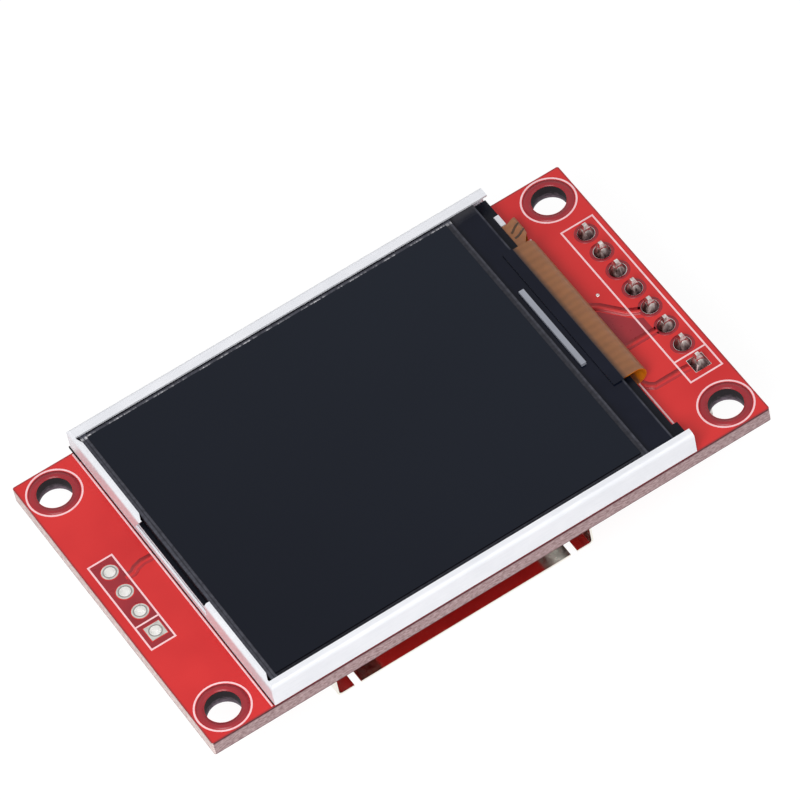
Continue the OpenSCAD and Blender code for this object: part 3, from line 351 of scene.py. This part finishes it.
# glass and films in front: blue-black, painted highlights as soft lines along their cut edges, a few pale
# specks of dust with painted glints
polariserBox = [[v / mm for v in corner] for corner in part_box("front_polariser")]
glassBox = [[v / mm for v in corner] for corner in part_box("rear_glass")]
glassLook = {
    "side": (0.007, 0.007, 0.010),
    "ledge": ((0.0045, 0.0060, 0.0145), (0.0065, 0.0085, 0.0190)),
    "rim": (0.006, 0.006, 0.009),
    "line": (0.080, 0.082, 0.102),
    "paleReflection": (0.11, 0.11, 0.12),
    "glint": (0.75, 0.74, 0.76),
    "screen": ((0.0042, 0.0060, 0.0125), (0.0090, 0.0125, 0.0215)),
    "dustGlint": (0.30, 0.31, 0.33),
    "cutFilm": (0.026, 0.028, 0.036),
    # each painted highlight line: distance outside the polariser's edge, reach, strength
    "leftLines": ((0.10, 0.20, 1.0), (0.45, 0.22, 1.0)),
    "rightLines": ((0.10, 0.20, 0.55), (0.50, 0.18, 0.75), (0.3, 0.6, 0.4)),
    "nearLines": ((0.08, 0.16, 1.0),),
    "farLines": ((0.16, 0.34, 1.0),),
    "nearFade": (-14.0, -6.0, 0.25, 0.45),
    "paleReflectionFade": (15.3, 16.6, 0.0, 0.75),
    "reflectionDrift": (0.7, 0.5, 10.0),
    "reflectionDriftRange": (-14.0, 22.0),
}


def sidesOf(tree, normal, face, side):
    facing = mathOf(tree, "ABSOLUTE", axesOf(tree, normal)[2])
    return mixOf(tree, mathOf(tree, "GREATER_THAN", facing, 0.5), tint(side), face)


def dustGlintsOf(tree, p, cell, share):
    # sparse round pale specks, one in some cells: dust with painted glints
    cells = addNode(tree, "ShaderNodeTexVoronoi", {"Vector": p, "Scale": 1 / cell})
    near = stepOf(tree, cells.outputs["Distance"], 0.016 / cell * 1.5, 0.09 / cell, 1.0, 0.0)
    chosen = mathOf(tree, "GREATER_THAN", axesOf(tree, cells.outputs["Color"])[0], 1 - share)
    return mathOf(tree, "MULTIPLY", near, chosen)


def linesOf(tree, offset, lines):
    # the strongest of several soft painted highlight lines beside an edge
    strongest = 0.0
    for centre, reach, strength in lines:
        line = mathOf(tree, "MULTIPLY", bandOf(tree, offset, centre, reach), strength)
        strongest = mathOf(tree, "MAXIMUM", strongest, line)
    return strongest


def frontGlassFinish(look):
    mat, tree, shader, p, normal = startMaterial("frontGlass", **{"Specular IOR Level": 0.12})
    x, y, _ = axesOf(tree, p)
    low, high = polariserBox
    # soft pale lines beside the polariser's edges: painted highlights
    leftOff = mathOf(tree, "SUBTRACT", low[0], x)
    rightOff = mathOf(tree, "SUBTRACT", x, high[0])
    nearOff = mathOf(tree, "SUBTRACT", low[1], y)
    farOff = mathOf(tree, "SUBTRACT", y, high[1])
    grain = stepOf(tree, noiseOf(tree, p, 2.5, 5.0), 0.3, 0.7, 0.55, 1.15)
    # the near line is only clear towards the cable end
    nearLine = mathOf(tree, "MULTIPLY", linesOf(tree, nearOff, look["nearLines"]),
                      stepOf(tree, x, *look["nearFade"]))
    lines = mathOf(tree, "MAXIMUM", linesOf(tree, leftOff, look["leftLines"]),
                   linesOf(tree, rightOff, look["rightLines"]))
    lines = mathOf(tree, "MAXIMUM", lines, nearLine)
    lines = mathOf(tree, "MAXIMUM", lines, linesOf(tree, farOff, look["farLines"]))
    shown = mathOf(tree, "MULTIPLY", lines, grain, True)
    color = mixOf(tree, shown, tint(look["rim"]), tint(look["line"]))
    # broken bright glints along the far edge
    broken = stepOf(tree, noiseOf(tree, p, 2.2, 5.0, (0.25, 0.0, 0.0)), 0.46, 0.56)
    beads = stepOf(tree, noiseOf(tree, p, 3.2, 3.0, (1.0, 0.0, 0.0)), 0.40, 0.58)
    glints = mathOf(tree, "MULTIPLY", mathOf(tree, "MULTIPLY", broken, beads),
                    bandOf(tree, farOff, 0.10, 0.20))
    color = mixOf(tree, glints, color, tint(look["glint"]))
    feed(tree, shader, Base_Color=sidesOf(tree, normal, color, look["side"]),
         Roughness=stepOf(tree, noiseOf(tree, p, 2.0), 0.3, 0.7, 0.12, 0.3))
    return mat


def rearGlassFinish(look):
    mat, tree, shader, p, normal = startMaterial("rearGlass", **{"Specular IOR Level": 0.12})
    x, y, _ = axesOf(tree, p)
    clouds = stepOf(tree, noiseOf(tree, p, 0.25, 3.0), 0.35, 0.65)
    color = mixOf(tree, clouds, tint(look["ledge"][0]), tint(look["ledge"][1]))
    # a painted highlight along the glass's cut end, broken in places
    glintBreaks = stepOf(tree, noiseOf(tree, p, 0.8, 4.0), 0.35, 0.65, 0.25, 0.8)
    edgeLine = mathOf(tree, "MULTIPLY", bandOf(tree, x, glassBox[1][0] - 0.07, 0.13), glintBreaks)
    color = mixOf(tree, edgeLine, color, tint(look["line"]))
    # a painted pale reflection on the ledge below the lip
    cloudy = mathOf(tree, "ADD", y, mathOf(tree, "MULTIPLY", clouds, 0.5))
    paleReflection = stepOf(tree, cloudy, *look["paleReflectionFade"])
    color = mixOf(tree, paleReflection, color, tint(look["paleReflection"]))
    # pale specks: dust with painted glints
    color = mixOf(tree, dustGlintsOf(tree, p, 1.7, 0.22), color, tint(look["dustGlint"]))
    feed(tree, shader, Base_Color=sidesOf(tree, normal, color, look["side"]),
         Roughness=stepOf(tree, noiseOf(tree, p, 2.0), 0.3, 0.7, 0.10, 0.22))
    return mat


def screenFinish(look):
    mat, tree, shader, p, normal = startMaterial("polariserFilm", **{"Specular IOR Level": 0.12})
    x, y, _ = axesOf(tree, p)
    # painted reflection: the screen lighter towards the cable end and the far side, with a slow wander
    alongX, alongY, wander = look["reflectionDrift"]
    reflectionDrift = mathOf(tree, "ADD", mathOf(tree, "MULTIPLY", x, alongX), mathOf(tree, "MULTIPLY", y, alongY))
    reflectionDrift = mathOf(tree, "ADD", reflectionDrift, mathOf(tree, "MULTIPLY", noiseOf(tree, p, 0.06, 2.0), wander))
    tone = stepOf(tree, reflectionDrift, *look["reflectionDriftRange"])
    face = mixOf(tree, tone, tint(look["screen"][0]), tint(look["screen"][1]))
    feed(tree, shader, Base_Color=sidesOf(tree, normal, face, look["side"]),
         Roughness=stepOf(tree, noiseOf(tree, p, 3.0), 0.3, 0.7, 0.16, 0.22))
    return mat


def coverFilmFinish(look):
    mat, tree, shader, p, normal = startMaterial("coverFilm", **{"Specular IOR Level": 0.12})
    clouds = stepOf(tree, noiseOf(tree, p, 0.25, 3.0), 0.35, 0.65)
    color = mixOf(tree, clouds, tint(look["ledge"][0]), tint(look["ledge"][1]))
    feed(tree, shader, Base_Color=sidesOf(tree, normal, color, look["cutFilm"]),
         Roughness=stepOf(tree, noiseOf(tree, p, 2.0), 0.3, 0.7, 0.10, 0.22))
    return mat


# tinned lands, brighter inside their plated holes
signalLook = {"ring": ((0.50, 0.49, 0.46), (0.68, 0.67, 0.63)), "barrel": (0.97, 0.97, 0.95),
              "edge": (0.30, 0.28, 0.27), "edgeLine": (0.57, 0.09), "barrelRadius": 0.51}


def platedFinish(look):
    mat, tree, shader, p, _ = startMaterial("platedHoles", **{"Metallic": 0.75})
    x, y, _ = axesOf(tree, p)
    dx = mathOf(tree, "SUBTRACT", x, signalX / mm)
    # ten whole pitches keep the fraction's input above zero
    along = mathOf(tree, "ADD", mathOf(tree, "DIVIDE", y, pitch / mm), 10.0)
    fromHole = mathOf(tree, "SUBTRACT", mathOf(tree, "FRACT", along), 0.5)
    away = lengthOf(tree, dx, mathOf(tree, "MULTIPLY", fromHole, pitch / mm))
    tone = stepOf(tree, noiseOf(tree, p, 1.8, 4.0), 0.35, 0.65)
    ring = mixOf(tree, tone, tint(look["ring"][0]), tint(look["ring"][1]))
    color = mixOf(tree, bandOf(tree, away, *look["edgeLine"]), ring, tint(look["edge"]))
    color = mixOf(tree, mathOf(tree, "LESS_THAN", away, look["barrelRadius"]), color, tint(look["barrel"]))
    feed(tree, shader, Base_Color=color, Roughness=stepOf(tree, tone, 0.0, 1.0, 0.25, 0.45),
         Normal=bumpOf(tree, tone, 0.3, 0.03 * mm))
    return mat


mats["coverFilm"] = coverFilmFinish(glassLook)
mats["platedHoles"] = platedFinish(signalLook)
mats["frontGlass"] = frontGlassFinish(glassLook)
mats["rearGlass"] = rearGlassFinish(glassLook)
mats["polariserFilm"] = screenFinish(glassLook)

# polyimide film: amber with faint conductors, painted darker near the ledge and lighter towards the fold, and
# painted brighter where light comes through from behind
flexBox = [[v / mm for v in corner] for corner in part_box("flex_cable")]
flexLook = {"left": (0.24, 0.100, 0.040), "right": (0.35, 0.140, 0.060), "inside": (0.58, 0.165, 0.006),
            "ink": (0.012, 0.010, 0.012), "inkEnd": 19.40, "amberStart": 19.90, "inkAbove": 1.4,
            "toneRange": (0.8, 5.2, 0.86, 1.12)}


def flexFinish(look):
    fixed = {"Specular IOR Level": 0.35, "Subsurface Weight": 0.2, "Subsurface Radius": (1.0, 0.4, 0.1),
             "Subsurface Scale": 0.2 * mm}
    mat, tree, shader, p, normal = startMaterial("amberFilm", **fixed)
    x, y, z = axesOf(tree, p)
    wander = mathOf(tree, "MULTIPLY", noiseOf(tree, p, 0.6), 0.5)
    stripes = mathOf(tree, "SINE", mathOf(tree, "MULTIPLY", mathOf(tree, "ADD", y, wander), 7.6))
    stains = mathOf(tree, "MULTIPLY", noiseOf(tree, p, 0.8, 4.0), 6.0)
    tone = stepOf(tree, mathOf(tree, "ADD", stripes, stains), *look["toneRange"])
    # painted shade and light: darker near the ledge, lighter towards the fold
    across = stepOf(tree, x, look["amberStart"], flexBox[1][0])
    amber = mixOf(tree, across, tint(look["left"]), tint(look["right"]))
    toned = addNode(tree, "ShaderNodeVectorMath", {0: amber, "Scale": tone}, operation="SCALE").outputs[0]
    # the inside of the fold and the cut edges painted bright orange, as light coming through
    facesIn = stepOf(tree, axesOf(tree, normal)[0], -0.15, -0.4)
    isCut = mathOf(tree, "GREATER_THAN", mathOf(tree, "ABSOLUTE", axesOf(tree, normal)[1]), 0.7)
    color = mixOf(tree, mathOf(tree, "MAXIMUM", facesIn, isCut), toned, tint(look["inside"]))
    upper = mathOf(tree, "GREATER_THAN", z, look["inkAbove"])
    ink = mathOf(tree, "MULTIPLY", upper, stepOf(tree, x, look["amberStart"], look["inkEnd"]))
    feed(tree, shader, Base_Color=mixOf(tree, ink, color, tint(look["ink"])),
         Roughness=stepOf(tree, noiseOf(tree, p, 1.5), 0.3, 0.7, 0.28, 0.42),
         Normal=bumpOf(tree, tone, 0.3, 0.02 * mm))
    return mat


mats["amberFilm"] = flexFinish(flexLook)

nodeFinish = {
    "board": "boardMask", "board_legend": "legendPrint", "header_lands": "tinnedCopper",
    "signal_lands": "platedHoles", "header_pins": "pinMetal", "header_housing": "blackMoulding",
    "mounting_tape": "foamTape", "reflector_sheet": "whiteMirror", "header_solder": "solderMetal",
    "light_guide": "clearMoulding", "diffuser_sheet": "milkFilm", "lower_prism_sheet": "ribbedFilm",
    "upper_prism_sheet": "ribbedFilm", "backlight_frame": "whiteMoulding", "backlight_diodes": "diodeBody",
    "diode_cable": "amberFilm", "shading_tape": "blackFilm", "rear_polariser": "polariserFilm",
    "rear_glass": "rearGlass", "front_glass": "frontGlass", "front_polariser": "polariserFilm",
    "driver_chip": "groundSilicon", "flex_cable": "amberFilm", "bond_cover": "coverFilm",
    "flex_lands": "tinnedCopper", "flex_solder": "solderMetal", "display_tray": "traySteel",
    "socket_base": "blackMoulding", "socket_cover": "coverSteel", "socket_contacts": "springMetal",
    "switch_contacts": "springMetal", "socket_lands": "tinnedCopper", "socket_solder": "solderMetal",
    "regulator_body": "blackMoulding", "regulator_leads": "tinnedCopper", "capacitor_bodies": "brownCeramic",
    "capacitor_caps": "tinnedCopper", "resistor_bodies": "blackCeramic", "resistor_caps": "tinnedCopper",
    "part_lands": "tinnedCopper", "part_solder": "solderMetal",
}
for node, finish in nodeFinish.items():
    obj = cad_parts[node]
    obj.data.materials.clear()
    obj.data.materials.append(mats[finish])
print("finishes on", len(nodeFinish), "nodes")


# solder mask relief

def reliefFinish(name, dark, light):
    look = {"dark": dark, "light": light, "rough": (0.26, 0.34), "patch": 0.3, "grain": 1.1, "bump": 0.12,
            "depth": 0.02, "gloss": 0.32}
    return plainFinish(name, look)


mats["bareMask"] = reliefFinish("bareMask", (0.30, 0.018, 0.028), (0.37, 0.023, 0.032))
mats["softMask"] = reliefFinish("softMask", (0.40, 0.019, 0.026), (0.46, 0.023, 0.029))
mats["trackMask"] = reliefFinish("trackMask", (0.58, 0.022, 0.024), (0.68, 0.030, 0.030))


def ribbonTree():
    # a flat band along every edge chain of the input
    tree, given = startTree("ribbons", [("Width", "Float"), ("Height", "Float"), ("Finish", "Material")])
    curve = addNode(tree, "GeometryNodeMeshToCurve", {0: given["Geometry"]}).outputs[0]
    upright = addNode(tree, "GeometryNodeSetCurveNormal", {0: curve}, mode="Z_UP")
    section = addNode(tree, "GeometryNodeCurvePrimitiveQuadrilateral",
                      {"Width": given["Width"], "Height": given["Height"]}).outputs[0]
    band = addNode(tree, "GeometryNodeCurveToMesh",
                   {"Curve": upright.outputs[0], "Profile Curve": section, "Fill Caps": True}).outputs[0]
    return endTree(tree, band, given["Finish"])


def ringTree():
    # a flat ring round every input point
    tree, given = startTree("rings", [("Radius", "Float"), ("Width", "Float"), ("Height", "Float"),
                                      ("Sides", "Int"), ("Finish", "Material")])
    circle = addNode(tree, "GeometryNodeCurvePrimitiveCircle",
                     {"Resolution": given["Sides"], "Radius": given["Radius"]}).outputs[0]
    section = addNode(tree, "GeometryNodeCurvePrimitiveQuadrilateral",
                      {"Width": given["Width"], "Height": given["Height"]}).outputs[0]
    ring = addNode(tree, "GeometryNodeCurveToMesh", {"Curve": circle, "Profile Curve": section}).outputs[0]
    points = addNode(tree, "GeometryNodeMeshToPoints", {0: given["Geometry"]}).outputs[0]
    copies = addNode(tree, "GeometryNodeInstanceOnPoints", {"Points": points, "Instance": ring}).outputs[0]
    return endTree(tree, copies, given["Finish"])


ribbons = ribbonTree()
rings = ringTree()

reliefLook = {"clearHeight": 0.004 * mm, "trackHeight": 0.010 * mm, "topClear": 0.86 * mm,
              "topTrack": 0.34 * mm, "lowClear": 0.9 * mm, "lowTrack": 0.42 * mm}

# centre lines of the tracks, in mm
topTracks = [
    [(-25.2, 2.5), (-24.4, 2.52), (-23.9, 2.85), (-23.2, 3.04), (-21.6, 2.95)],
    [(20.9, -7.7), (21.25, -8.25), (21.8, -8.68), (24.2, -8.70), (25.2, -8.80)],
    [(21.4, 2.4), (22.6, 1.45), (24.1, -0.45), (25.2, -1.1)],
    [(21.0, -3.68), (24.2, -3.68), (25.2, -3.75)],
]
lowTracks = [
    [(-13.1, 12.0), (-13.1, 14.9), (22.6, 14.9), (24.2, 13.0), (24.2, 9.4), (25.2, 8.9)],
    [(-5.6, 12.0), (-5.6, 13.9), (21.6, 13.9), (23.4, 11.8), (23.4, 7.0), (25.2, 6.35)],
    [(1.9, 12.9), (1.9, 13.1), (20.4, 13.1), (22.8, 10.4), (22.8, 4.4), (25.2, 3.81)],
    [(6.9, 12.0), (13.0, 12.0), (13.6, 11.4), (13.6, -7.6), (12.8, -9.0), (11.6, -10.6)],
    [(15.3, 5.95), (13.0, 5.95), (12.2, 5.2)],
    [(17.2, 4.05), (18.0, 2.9), (22.2, 2.9), (24.0, 1.8), (25.2, 1.27)],
    [(19.9, 5.0), (21.4, 5.0), (22.2, 4.2), (22.2, 0.0), (23.4, -1.27), (25.2, -1.27)],
    [(21.3, -6.9), (22.6, -6.9), (24.0, -6.35), (25.2, -6.35)],
    [(21.3, -9.2), (22.2, -9.2), (22.8, -8.89), (25.2, -8.89)],
    [(21.3, -11.5), (22.4, -11.5), (23.4, -10.4), (23.4, -5.0), (24.4, -3.81), (25.2, -3.81)],
    [(-25.2, 3.81), (-22.6, 3.81), (-19.4, 7.0), (-19.4, 12.0), (-15.4, 12.0)],
    [(-25.2, 1.27), (-21.8, 1.27), (-18.6, 4.5)],
    [(-25.2, -1.27), (-20.2, -1.27), (-18.4, -3.0), (-18.4, -10.2), (-17.6, -11.0)],
    [(-25.2, -3.81), (-21.4, -3.81), (-19.6, -5.6), (-19.6, -13.4), (-18.4, -14.8), (8.0, -15.9)],
]


def lifted(paths, z):
    return [[(x * mm, y * mm, z) for x, y in path] for path in paths]


trackSets = [("top", topTracks, boardTop, "topClear", "topTrack", "softMask"),
             ("low", lowTracks, boardBottom, "lowClear", "lowTrack", "bareMask")]
for side, paths, z, clearKey, trackKey, clearMat in trackSets:
    bands = [("Clearances", clearKey, "clearHeight", clearMat),
             ("Tracks", trackKey, "trackHeight", "trackMask")]
    for ending, widthKey, heightKey, finish in bands:
        runTree(side + ending, pathMesh(side + ending, lifted(paths, z)), ribbons,
                {"Width": reliefLook[widthKey], "Height": reliefLook[heightKey] * 2, "Finish": mats[finish]})

corners = [(sx * holeX, sy * holeY) for sx in (-1, 1) for sy in (-1, 1)]
bothFaces = (boardTop, boardBottom)
surrounds = {
    "holeSurrounds": {"points": [(x, y, z) for x, y in corners for z in bothFaces],
                      "radius": 1.97, "width": 0.70, "sides": 64},
    "headerSurrounds": {"points": [(headerX, y, z) for y in headerRow[1:] for z in bothFaces],
                        "radius": 0.93, "width": 0.32, "sides": 40},
    "signalSurrounds": {"points": [(signalX, y, boardBottom) for y in signalRow],
                        "radius": 0.93, "width": 0.32, "sides": 40},
}
for name, look in surrounds.items():
    sizes = {"Radius": look["radius"] * mm, "Width": look["width"] * mm, "Sides": look["sides"],
             "Height": 2 * reliefLook["clearHeight"], "Finish": mats["bareMask"]}
    runTree(name, pointMesh(name, look["points"]), rings, sizes)


def flatPatch(name, areas, z, thick, material):
    # thin closed patches with straight sides and round openings
    mesh = bpy.data.meshes.new(name)
    for outline, holes in areas:
        work = bmesh.new()
        loops = [outline] + [[(cx + r * math.cos(a * math.pi / 16), cy + r * math.sin(a * math.pi / 16))
                              for a in range(32)] for cx, cy, r in holes]
        edges = []
        for loop in loops:
            verts = [work.verts.new((x * mm, y * mm, z)) for x, y in loop]
            edges += [work.edges.new((verts[i - 1], verts[i])) for i in range(len(verts))]
        bmesh.ops.triangle_fill(work, edges=edges, use_beauty=True)
        raised = bmesh.ops.extrude_face_region(work, geom=list(work.faces))["geom"]
        moved = [v for v in raised if isinstance(v, bmesh.types.BMVert)]
        bmesh.ops.translate(work, verts=moved, vec=(0, 0, thick))
        bmesh.ops.recalc_face_normals(work, faces=work.faces)
        work.from_mesh(mesh)
        work.to_mesh(mesh)
        work.free()
    mesh.materials.append(material)
    return mesh


landReach = 0.86        # from a signal hole's centre to the edge of its clearance
signalEnd = [(signalX / mm, y / mm, landReach) for y in signalRow[1:]]
pinOne = [(signalX / mm + side * landReach, signalRow[0] / mm + side * landReach) for side in (-1, 1)]
clearAreas = [
    ([(21.0, 1.9), (22.3, 1.0), (23.7, -0.75), (24.3, -1.5), (25.0, -1.9), (25.0, -3.35), (21.0, -3.35)], []),
    ([(-27.2, 5.2), (-27.2, pinOne[1][1]), (-24.95, pinOne[1][1]), (-24.95, 5.2)], signalEnd),
    ([(-27.2, pinOne[1][1]), (-27.2, -5.2), (-24.95, -5.2), (-24.95, pinOne[1][1]), pinOne[1],
      (pinOne[1][0], pinOne[0][1]), pinOne[0], (pinOne[0][0], pinOne[1][1])], []),
]
areaHeight = reliefLook["clearHeight"] * 0.8
addPiece("clearAreas", flatPatch("clearAreas", clearAreas, boardTop, areaHeight, mats["bareMask"]))
padThick = 0.03 * mm
mouthPads = [
    ([(-13.1, -15.6), (-10.9, -15.6), (-10.9, -12.6), (-13.1, -12.6)], []),
    ([(5.7, -15.6), (8.4, -15.6), (8.4, -12.6), (5.7, -12.6)], []),
]
addPiece("mouthPads", flatPatch("mouthPads", mouthPads, boardBottom, -padThick, mats["tinnedCopper"]))

# small plated vias
viaLook = {"radius": 0.11 * mm, "width": 0.12 * mm, "height": 0.02 * mm, "sides": 16}
topVias = [(23.2, 2.62)]
lowVias = [(22.6, 14.9), (13.6, 11.4), (13.6, -7.6), (22.2, 0.0), (-19.4, 12.0), (-18.6, 4.5),
           (-18.4, -10.2), (12.2, 5.2), (18.0, 2.9), (22.6, -6.9)]
viaSides = [(topVias, boardTop), (lowVias, boardBottom)]
viaPoints = [(x * mm, y * mm, z) for spots, z in viaSides for x, y in spots]
runTree("vias", pointMesh("vias", viaPoints), rings,
        {"Radius": viaLook["radius"], "Width": viaLook["width"], "Height": viaLook["height"],
         "Sides": viaLook["sides"], "Finish": mats["tinnedCopper"]})
print("solder mask relief made")


# header joints

# steep lumps of solder, painted dark at the foot as shade and light at the crest as a highlight, and streaked
# where they reach up the pins
jointLook = {"profile": ((0.80, 0.02), (0.77, 0.07), (0.69, 0.17), (0.60, 0.30), (0.52, 0.44), (0.45, 0.58),
                         (0.38, 0.70), (0.31, 0.80)),
             "least": 0.24, "sides": 24, "lump": 0.05, "seed": 7,
             "foot": (0.030, 0.012, 0.014), "flank": (0.12, 0.080, 0.078), "crestHighlight": (0.50, 0.45, 0.43),
             "footFade": (0.20, 0.55), "crestHighlightFade": (0.55, 1.05)}


def jointFinish(look):
    mat, tree, shader, p, _ = startMaterial("shadedSolder", **{"Metallic": 0.85})
    z = axesOf(tree, p)[2]
    streaks = stepOf(tree, noiseOf(tree, p, 2.6, 3.0, (1.0, 1.0, 0.25)), 0.35, 0.65)
    rise = mathOf(tree, "ADD", z, mathOf(tree, "MULTIPLY", streaks, 0.45))
    # painted shade at the foot and a painted highlight at the crest
    body = mixOf(tree, stepOf(tree, rise, *look["footFade"]), tint(look["foot"]), tint(look["flank"]))
    color = mixOf(tree, stepOf(tree, rise, *look["crestHighlightFade"]), body, tint(look["crestHighlight"]))
    feed(tree, shader, Base_Color=color, Roughness=stepOf(tree, streaks, 0.0, 1.0, 0.16, 0.36),
         Normal=bumpOf(tree, streaks, 0.3, 0.03 * mm))
    return mat


def jointMesh(look):
    draw = random.Random(look["seed"])
    work = bmesh.new()
    turn = 2 * math.pi / look["sides"]
    for number, rowY in enumerate(headerRow):
        lean = [draw.uniform(-1, 1) for _ in range(4)]
        rows = []
        for r, z in look["profile"]:
            ring = []
            for i in range(look["sides"]):
                a = i * turn
                wave = lean[0] * math.cos(a + lean[1] * 3) + 0.6 * lean[2] * math.cos(2 * a + lean[3] * 3)
                rad = r * (1 + look["lump"] * wave * (0.4 + z))
                if number == 0:      # square land: the foot spreads to its corners
                    square = 1 / max(abs(math.cos(a)), abs(math.sin(a)))
                    rad *= 1 + (square - 1) * max(0.0, 1 - z * 2.2)
                rad = max(rad, look["least"])
                ring.append(work.verts.new((headerX + rad * math.cos(a) * mm, rowY + rad * math.sin(a) * mm,
                                            (z + 0.02 * wave * z) * mm)))
            rows.append(ring)
        for lower, upper in zip(rows, rows[1:]):
            for i in range(look["sides"]):
                j = (i + 1) % look["sides"]
                work.faces.new((lower[i], lower[j], upper[j], upper[i]))
        work.faces.new(rows[-1])
        work.faces.new(rows[0][::-1])
    for face in work.faces:
        face.smooth = len(face.verts) == 4
    mesh = bpy.data.meshes.new("headerJoints")
    work.to_mesh(mesh)
    work.free()
    return mesh


mats["shadedSolder"] = jointFinish(jointLook)
joints = jointMesh(jointLook)
joints.materials.append(mats["shadedSolder"])
addPiece("headerJoints", joints, replaces=("header_solder",))
print("header joints made")


# cable details

copperLook = {"dark": (0.050, 0.022, 0.010), "light": (0.085, 0.040, 0.016), "rough": (0.3, 0.45),
              "patch": 0.8, "gloss": 0.35}
mats["darkCopper"] = plainFinish("darkCopper", copperLook)

# two conductors that curve over the backlight's tail
tailBox = [[v / mm for v in corner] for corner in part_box("diode_cable")]
tailLines = {"width": 0.22 * mm, "height": 0.03 * mm,
             "plan": [[(20.55, 12.05), (20.8, 12.2), (21.08, 12.42), (21.3, 12.56), (21.5, 12.72),
                       (21.68, 12.86)],
                      [(20.5, 11.42), (20.8, 11.45), (21.14, 11.58), (21.4, 11.76), (21.6, 11.95),
                       (21.76, 12.1)]]}


def tailHeight(x):
    radius = (tailBox[1][2] - tailBox[0][2]) / 2
    past = x - (tailBox[1][0] - radius)
    if past < 0:
        return tailBox[1][2]
    return tailBox[0][2] + radius + math.sqrt(max(radius ** 2 - past ** 2, 0.0))


tailPaths = [[(x * mm, y * mm, tailHeight(x) * mm) for x, y in path] for path in tailLines["plan"]]
runTree("tailConductors", pathMesh("tailConductors", tailPaths), ribbons,
        {"Width": tailLines["width"], "Height": tailLines["height"], "Finish": mats["darkCopper"]})
print("cable details made")


# floor, lights, camera

floorLook = {"size": 3.0, "drop": 0.02 * mm, "paper": ((0.86, 0.86, 0.86), (0.90, 0.90, 0.90)),
             "glow": 0.90, "shaded": 0.17}


def seenOf(tree):
    # one for the rays that show a surface, nothing for those that light by it
    rays = addNode(tree, "ShaderNodeLightPath").outputs
    return mathOf(tree, "MAXIMUM", rays["Is Camera Ray"],
                  mathOf(tree, "MAXIMUM", rays["Is Glossy Ray"], rays["Is Transmission Ray"]))


def floorFinish(look):
    mat = bpy.data.materials.new("floorPaper")
    mat.use_nodes = True
    tree = mat.node_tree
    tree.nodes.clear()
    coords = addNode(tree, "ShaderNodeTexCoord")
    tone = noiseOf(tree, coords.outputs["Object"], 40.0)
    color = mixOf(tree, tone, tint(look["paper"][0]), tint(look["paper"][1]))
    paper = addNode(tree, "ShaderNodeBsdfDiffuse", {"Color": color}).outputs[0]
    # where it is seen, most of its white is its own and the rest takes the shadow
    thin = addNode(tree, "ShaderNodeBsdfDiffuse", {"Color": tint([look["shaded"]] * 3)}).outputs[0]
    glow = addNode(tree, "ShaderNodeEmission", {"Strength": look["glow"]}).outputs[0]
    both = addNode(tree, "ShaderNodeAddShader", {0: thin, 1: glow}).outputs[0]
    mixed = addNode(tree, "ShaderNodeMixShader", {0: seenOf(tree), 1: paper, 2: both}).outputs[0]
    addNode(tree, "ShaderNodeOutputMaterial", {"Surface": mixed})
    return mat


half = floorLook["size"] / 2
floorZ = cadBox[0][2] - floorLook["drop"]
floorMesh = bpy.data.meshes.new("floor")
floorCorners = [(-half, -half, floorZ), (half, -half, floorZ), (half, half, floorZ), (-half, half, floorZ)]
floorMesh.from_pydata(floorCorners, [], [(0, 1, 2, 3)])
floorMesh.materials.append(floorFinish(floorLook))
floor = bpy.data.objects.new("floor", floorMesh)
bpy.context.scene.collection.objects.link(floor)


worldLook = {"sky": (0.97, 0.98, 1.0), "ambient": 0.45}


def worldFinish(look):
    world = bpy.data.worlds.new("studio")
    world.use_nodes = True
    tree = world.node_tree
    tree.nodes.clear()
    softInputs = {"Color": tint(look["sky"]), "Strength": look["ambient"]}
    soft = addNode(tree, "ShaderNodeBackground", softInputs).outputs[0]
    white = addNode(tree, "ShaderNodeBackground", {"Color": tint((1, 1, 1)), "Strength": 1.0}).outputs[0]
    mixed = addNode(tree, "ShaderNodeMixShader", {0: seenOf(tree), 1: soft, 2: white}).outputs[0]
    addNode(tree, "ShaderNodeOutputWorld", {"Surface": mixed})
    bpy.context.scene.world = world


worldFinish(worldLook)

lamps = {
    "keyLamp": {"place": (-0.15, -0.17, 0.23), "size": 0.18, "power": 0.70},
    "fillLamp": {"place": (0.30, -0.20, 0.45), "size": 0.3, "power": 0.25},
}
for name, look in lamps.items():
    data = bpy.data.lights.new(name, "AREA")
    data.shape = "SQUARE"
    data.size = look["size"]
    data.energy = look["power"]
    lamp = bpy.data.objects.new(name, data)
    lamp.location = look["place"]
    aim = -lamp.location
    lamp.rotation_mode = "QUATERNION"
    lamp.rotation_quaternion = aim.to_track_quat("-Z", "Y")
    bpy.context.scene.collection.objects.link(lamp)

cameraLook = {"place": (-0.14755, -0.37260, 0.53075), "turn": (36.6615, 7.8941, -32.3226),
              "lens": 349.44, "sensor": 36, "clip": (0.01, 20)}
cameraData = bpy.data.cameras.new("camera")
cameraData.lens = cameraLook["lens"]
cameraData.sensor_width = cameraLook["sensor"]
cameraData.clip_start, cameraData.clip_end = cameraLook["clip"]
camera = bpy.data.objects.new("camera", cameraData)
camera.location = cameraLook["place"]
camera.rotation_euler = [math.radians(a) for a in cameraLook["turn"]]
bpy.context.scene.collection.objects.link(camera)
bpy.context.scene.camera = camera
bpy.context.scene.view_settings.view_transform = "Standard"
print("stage ready")
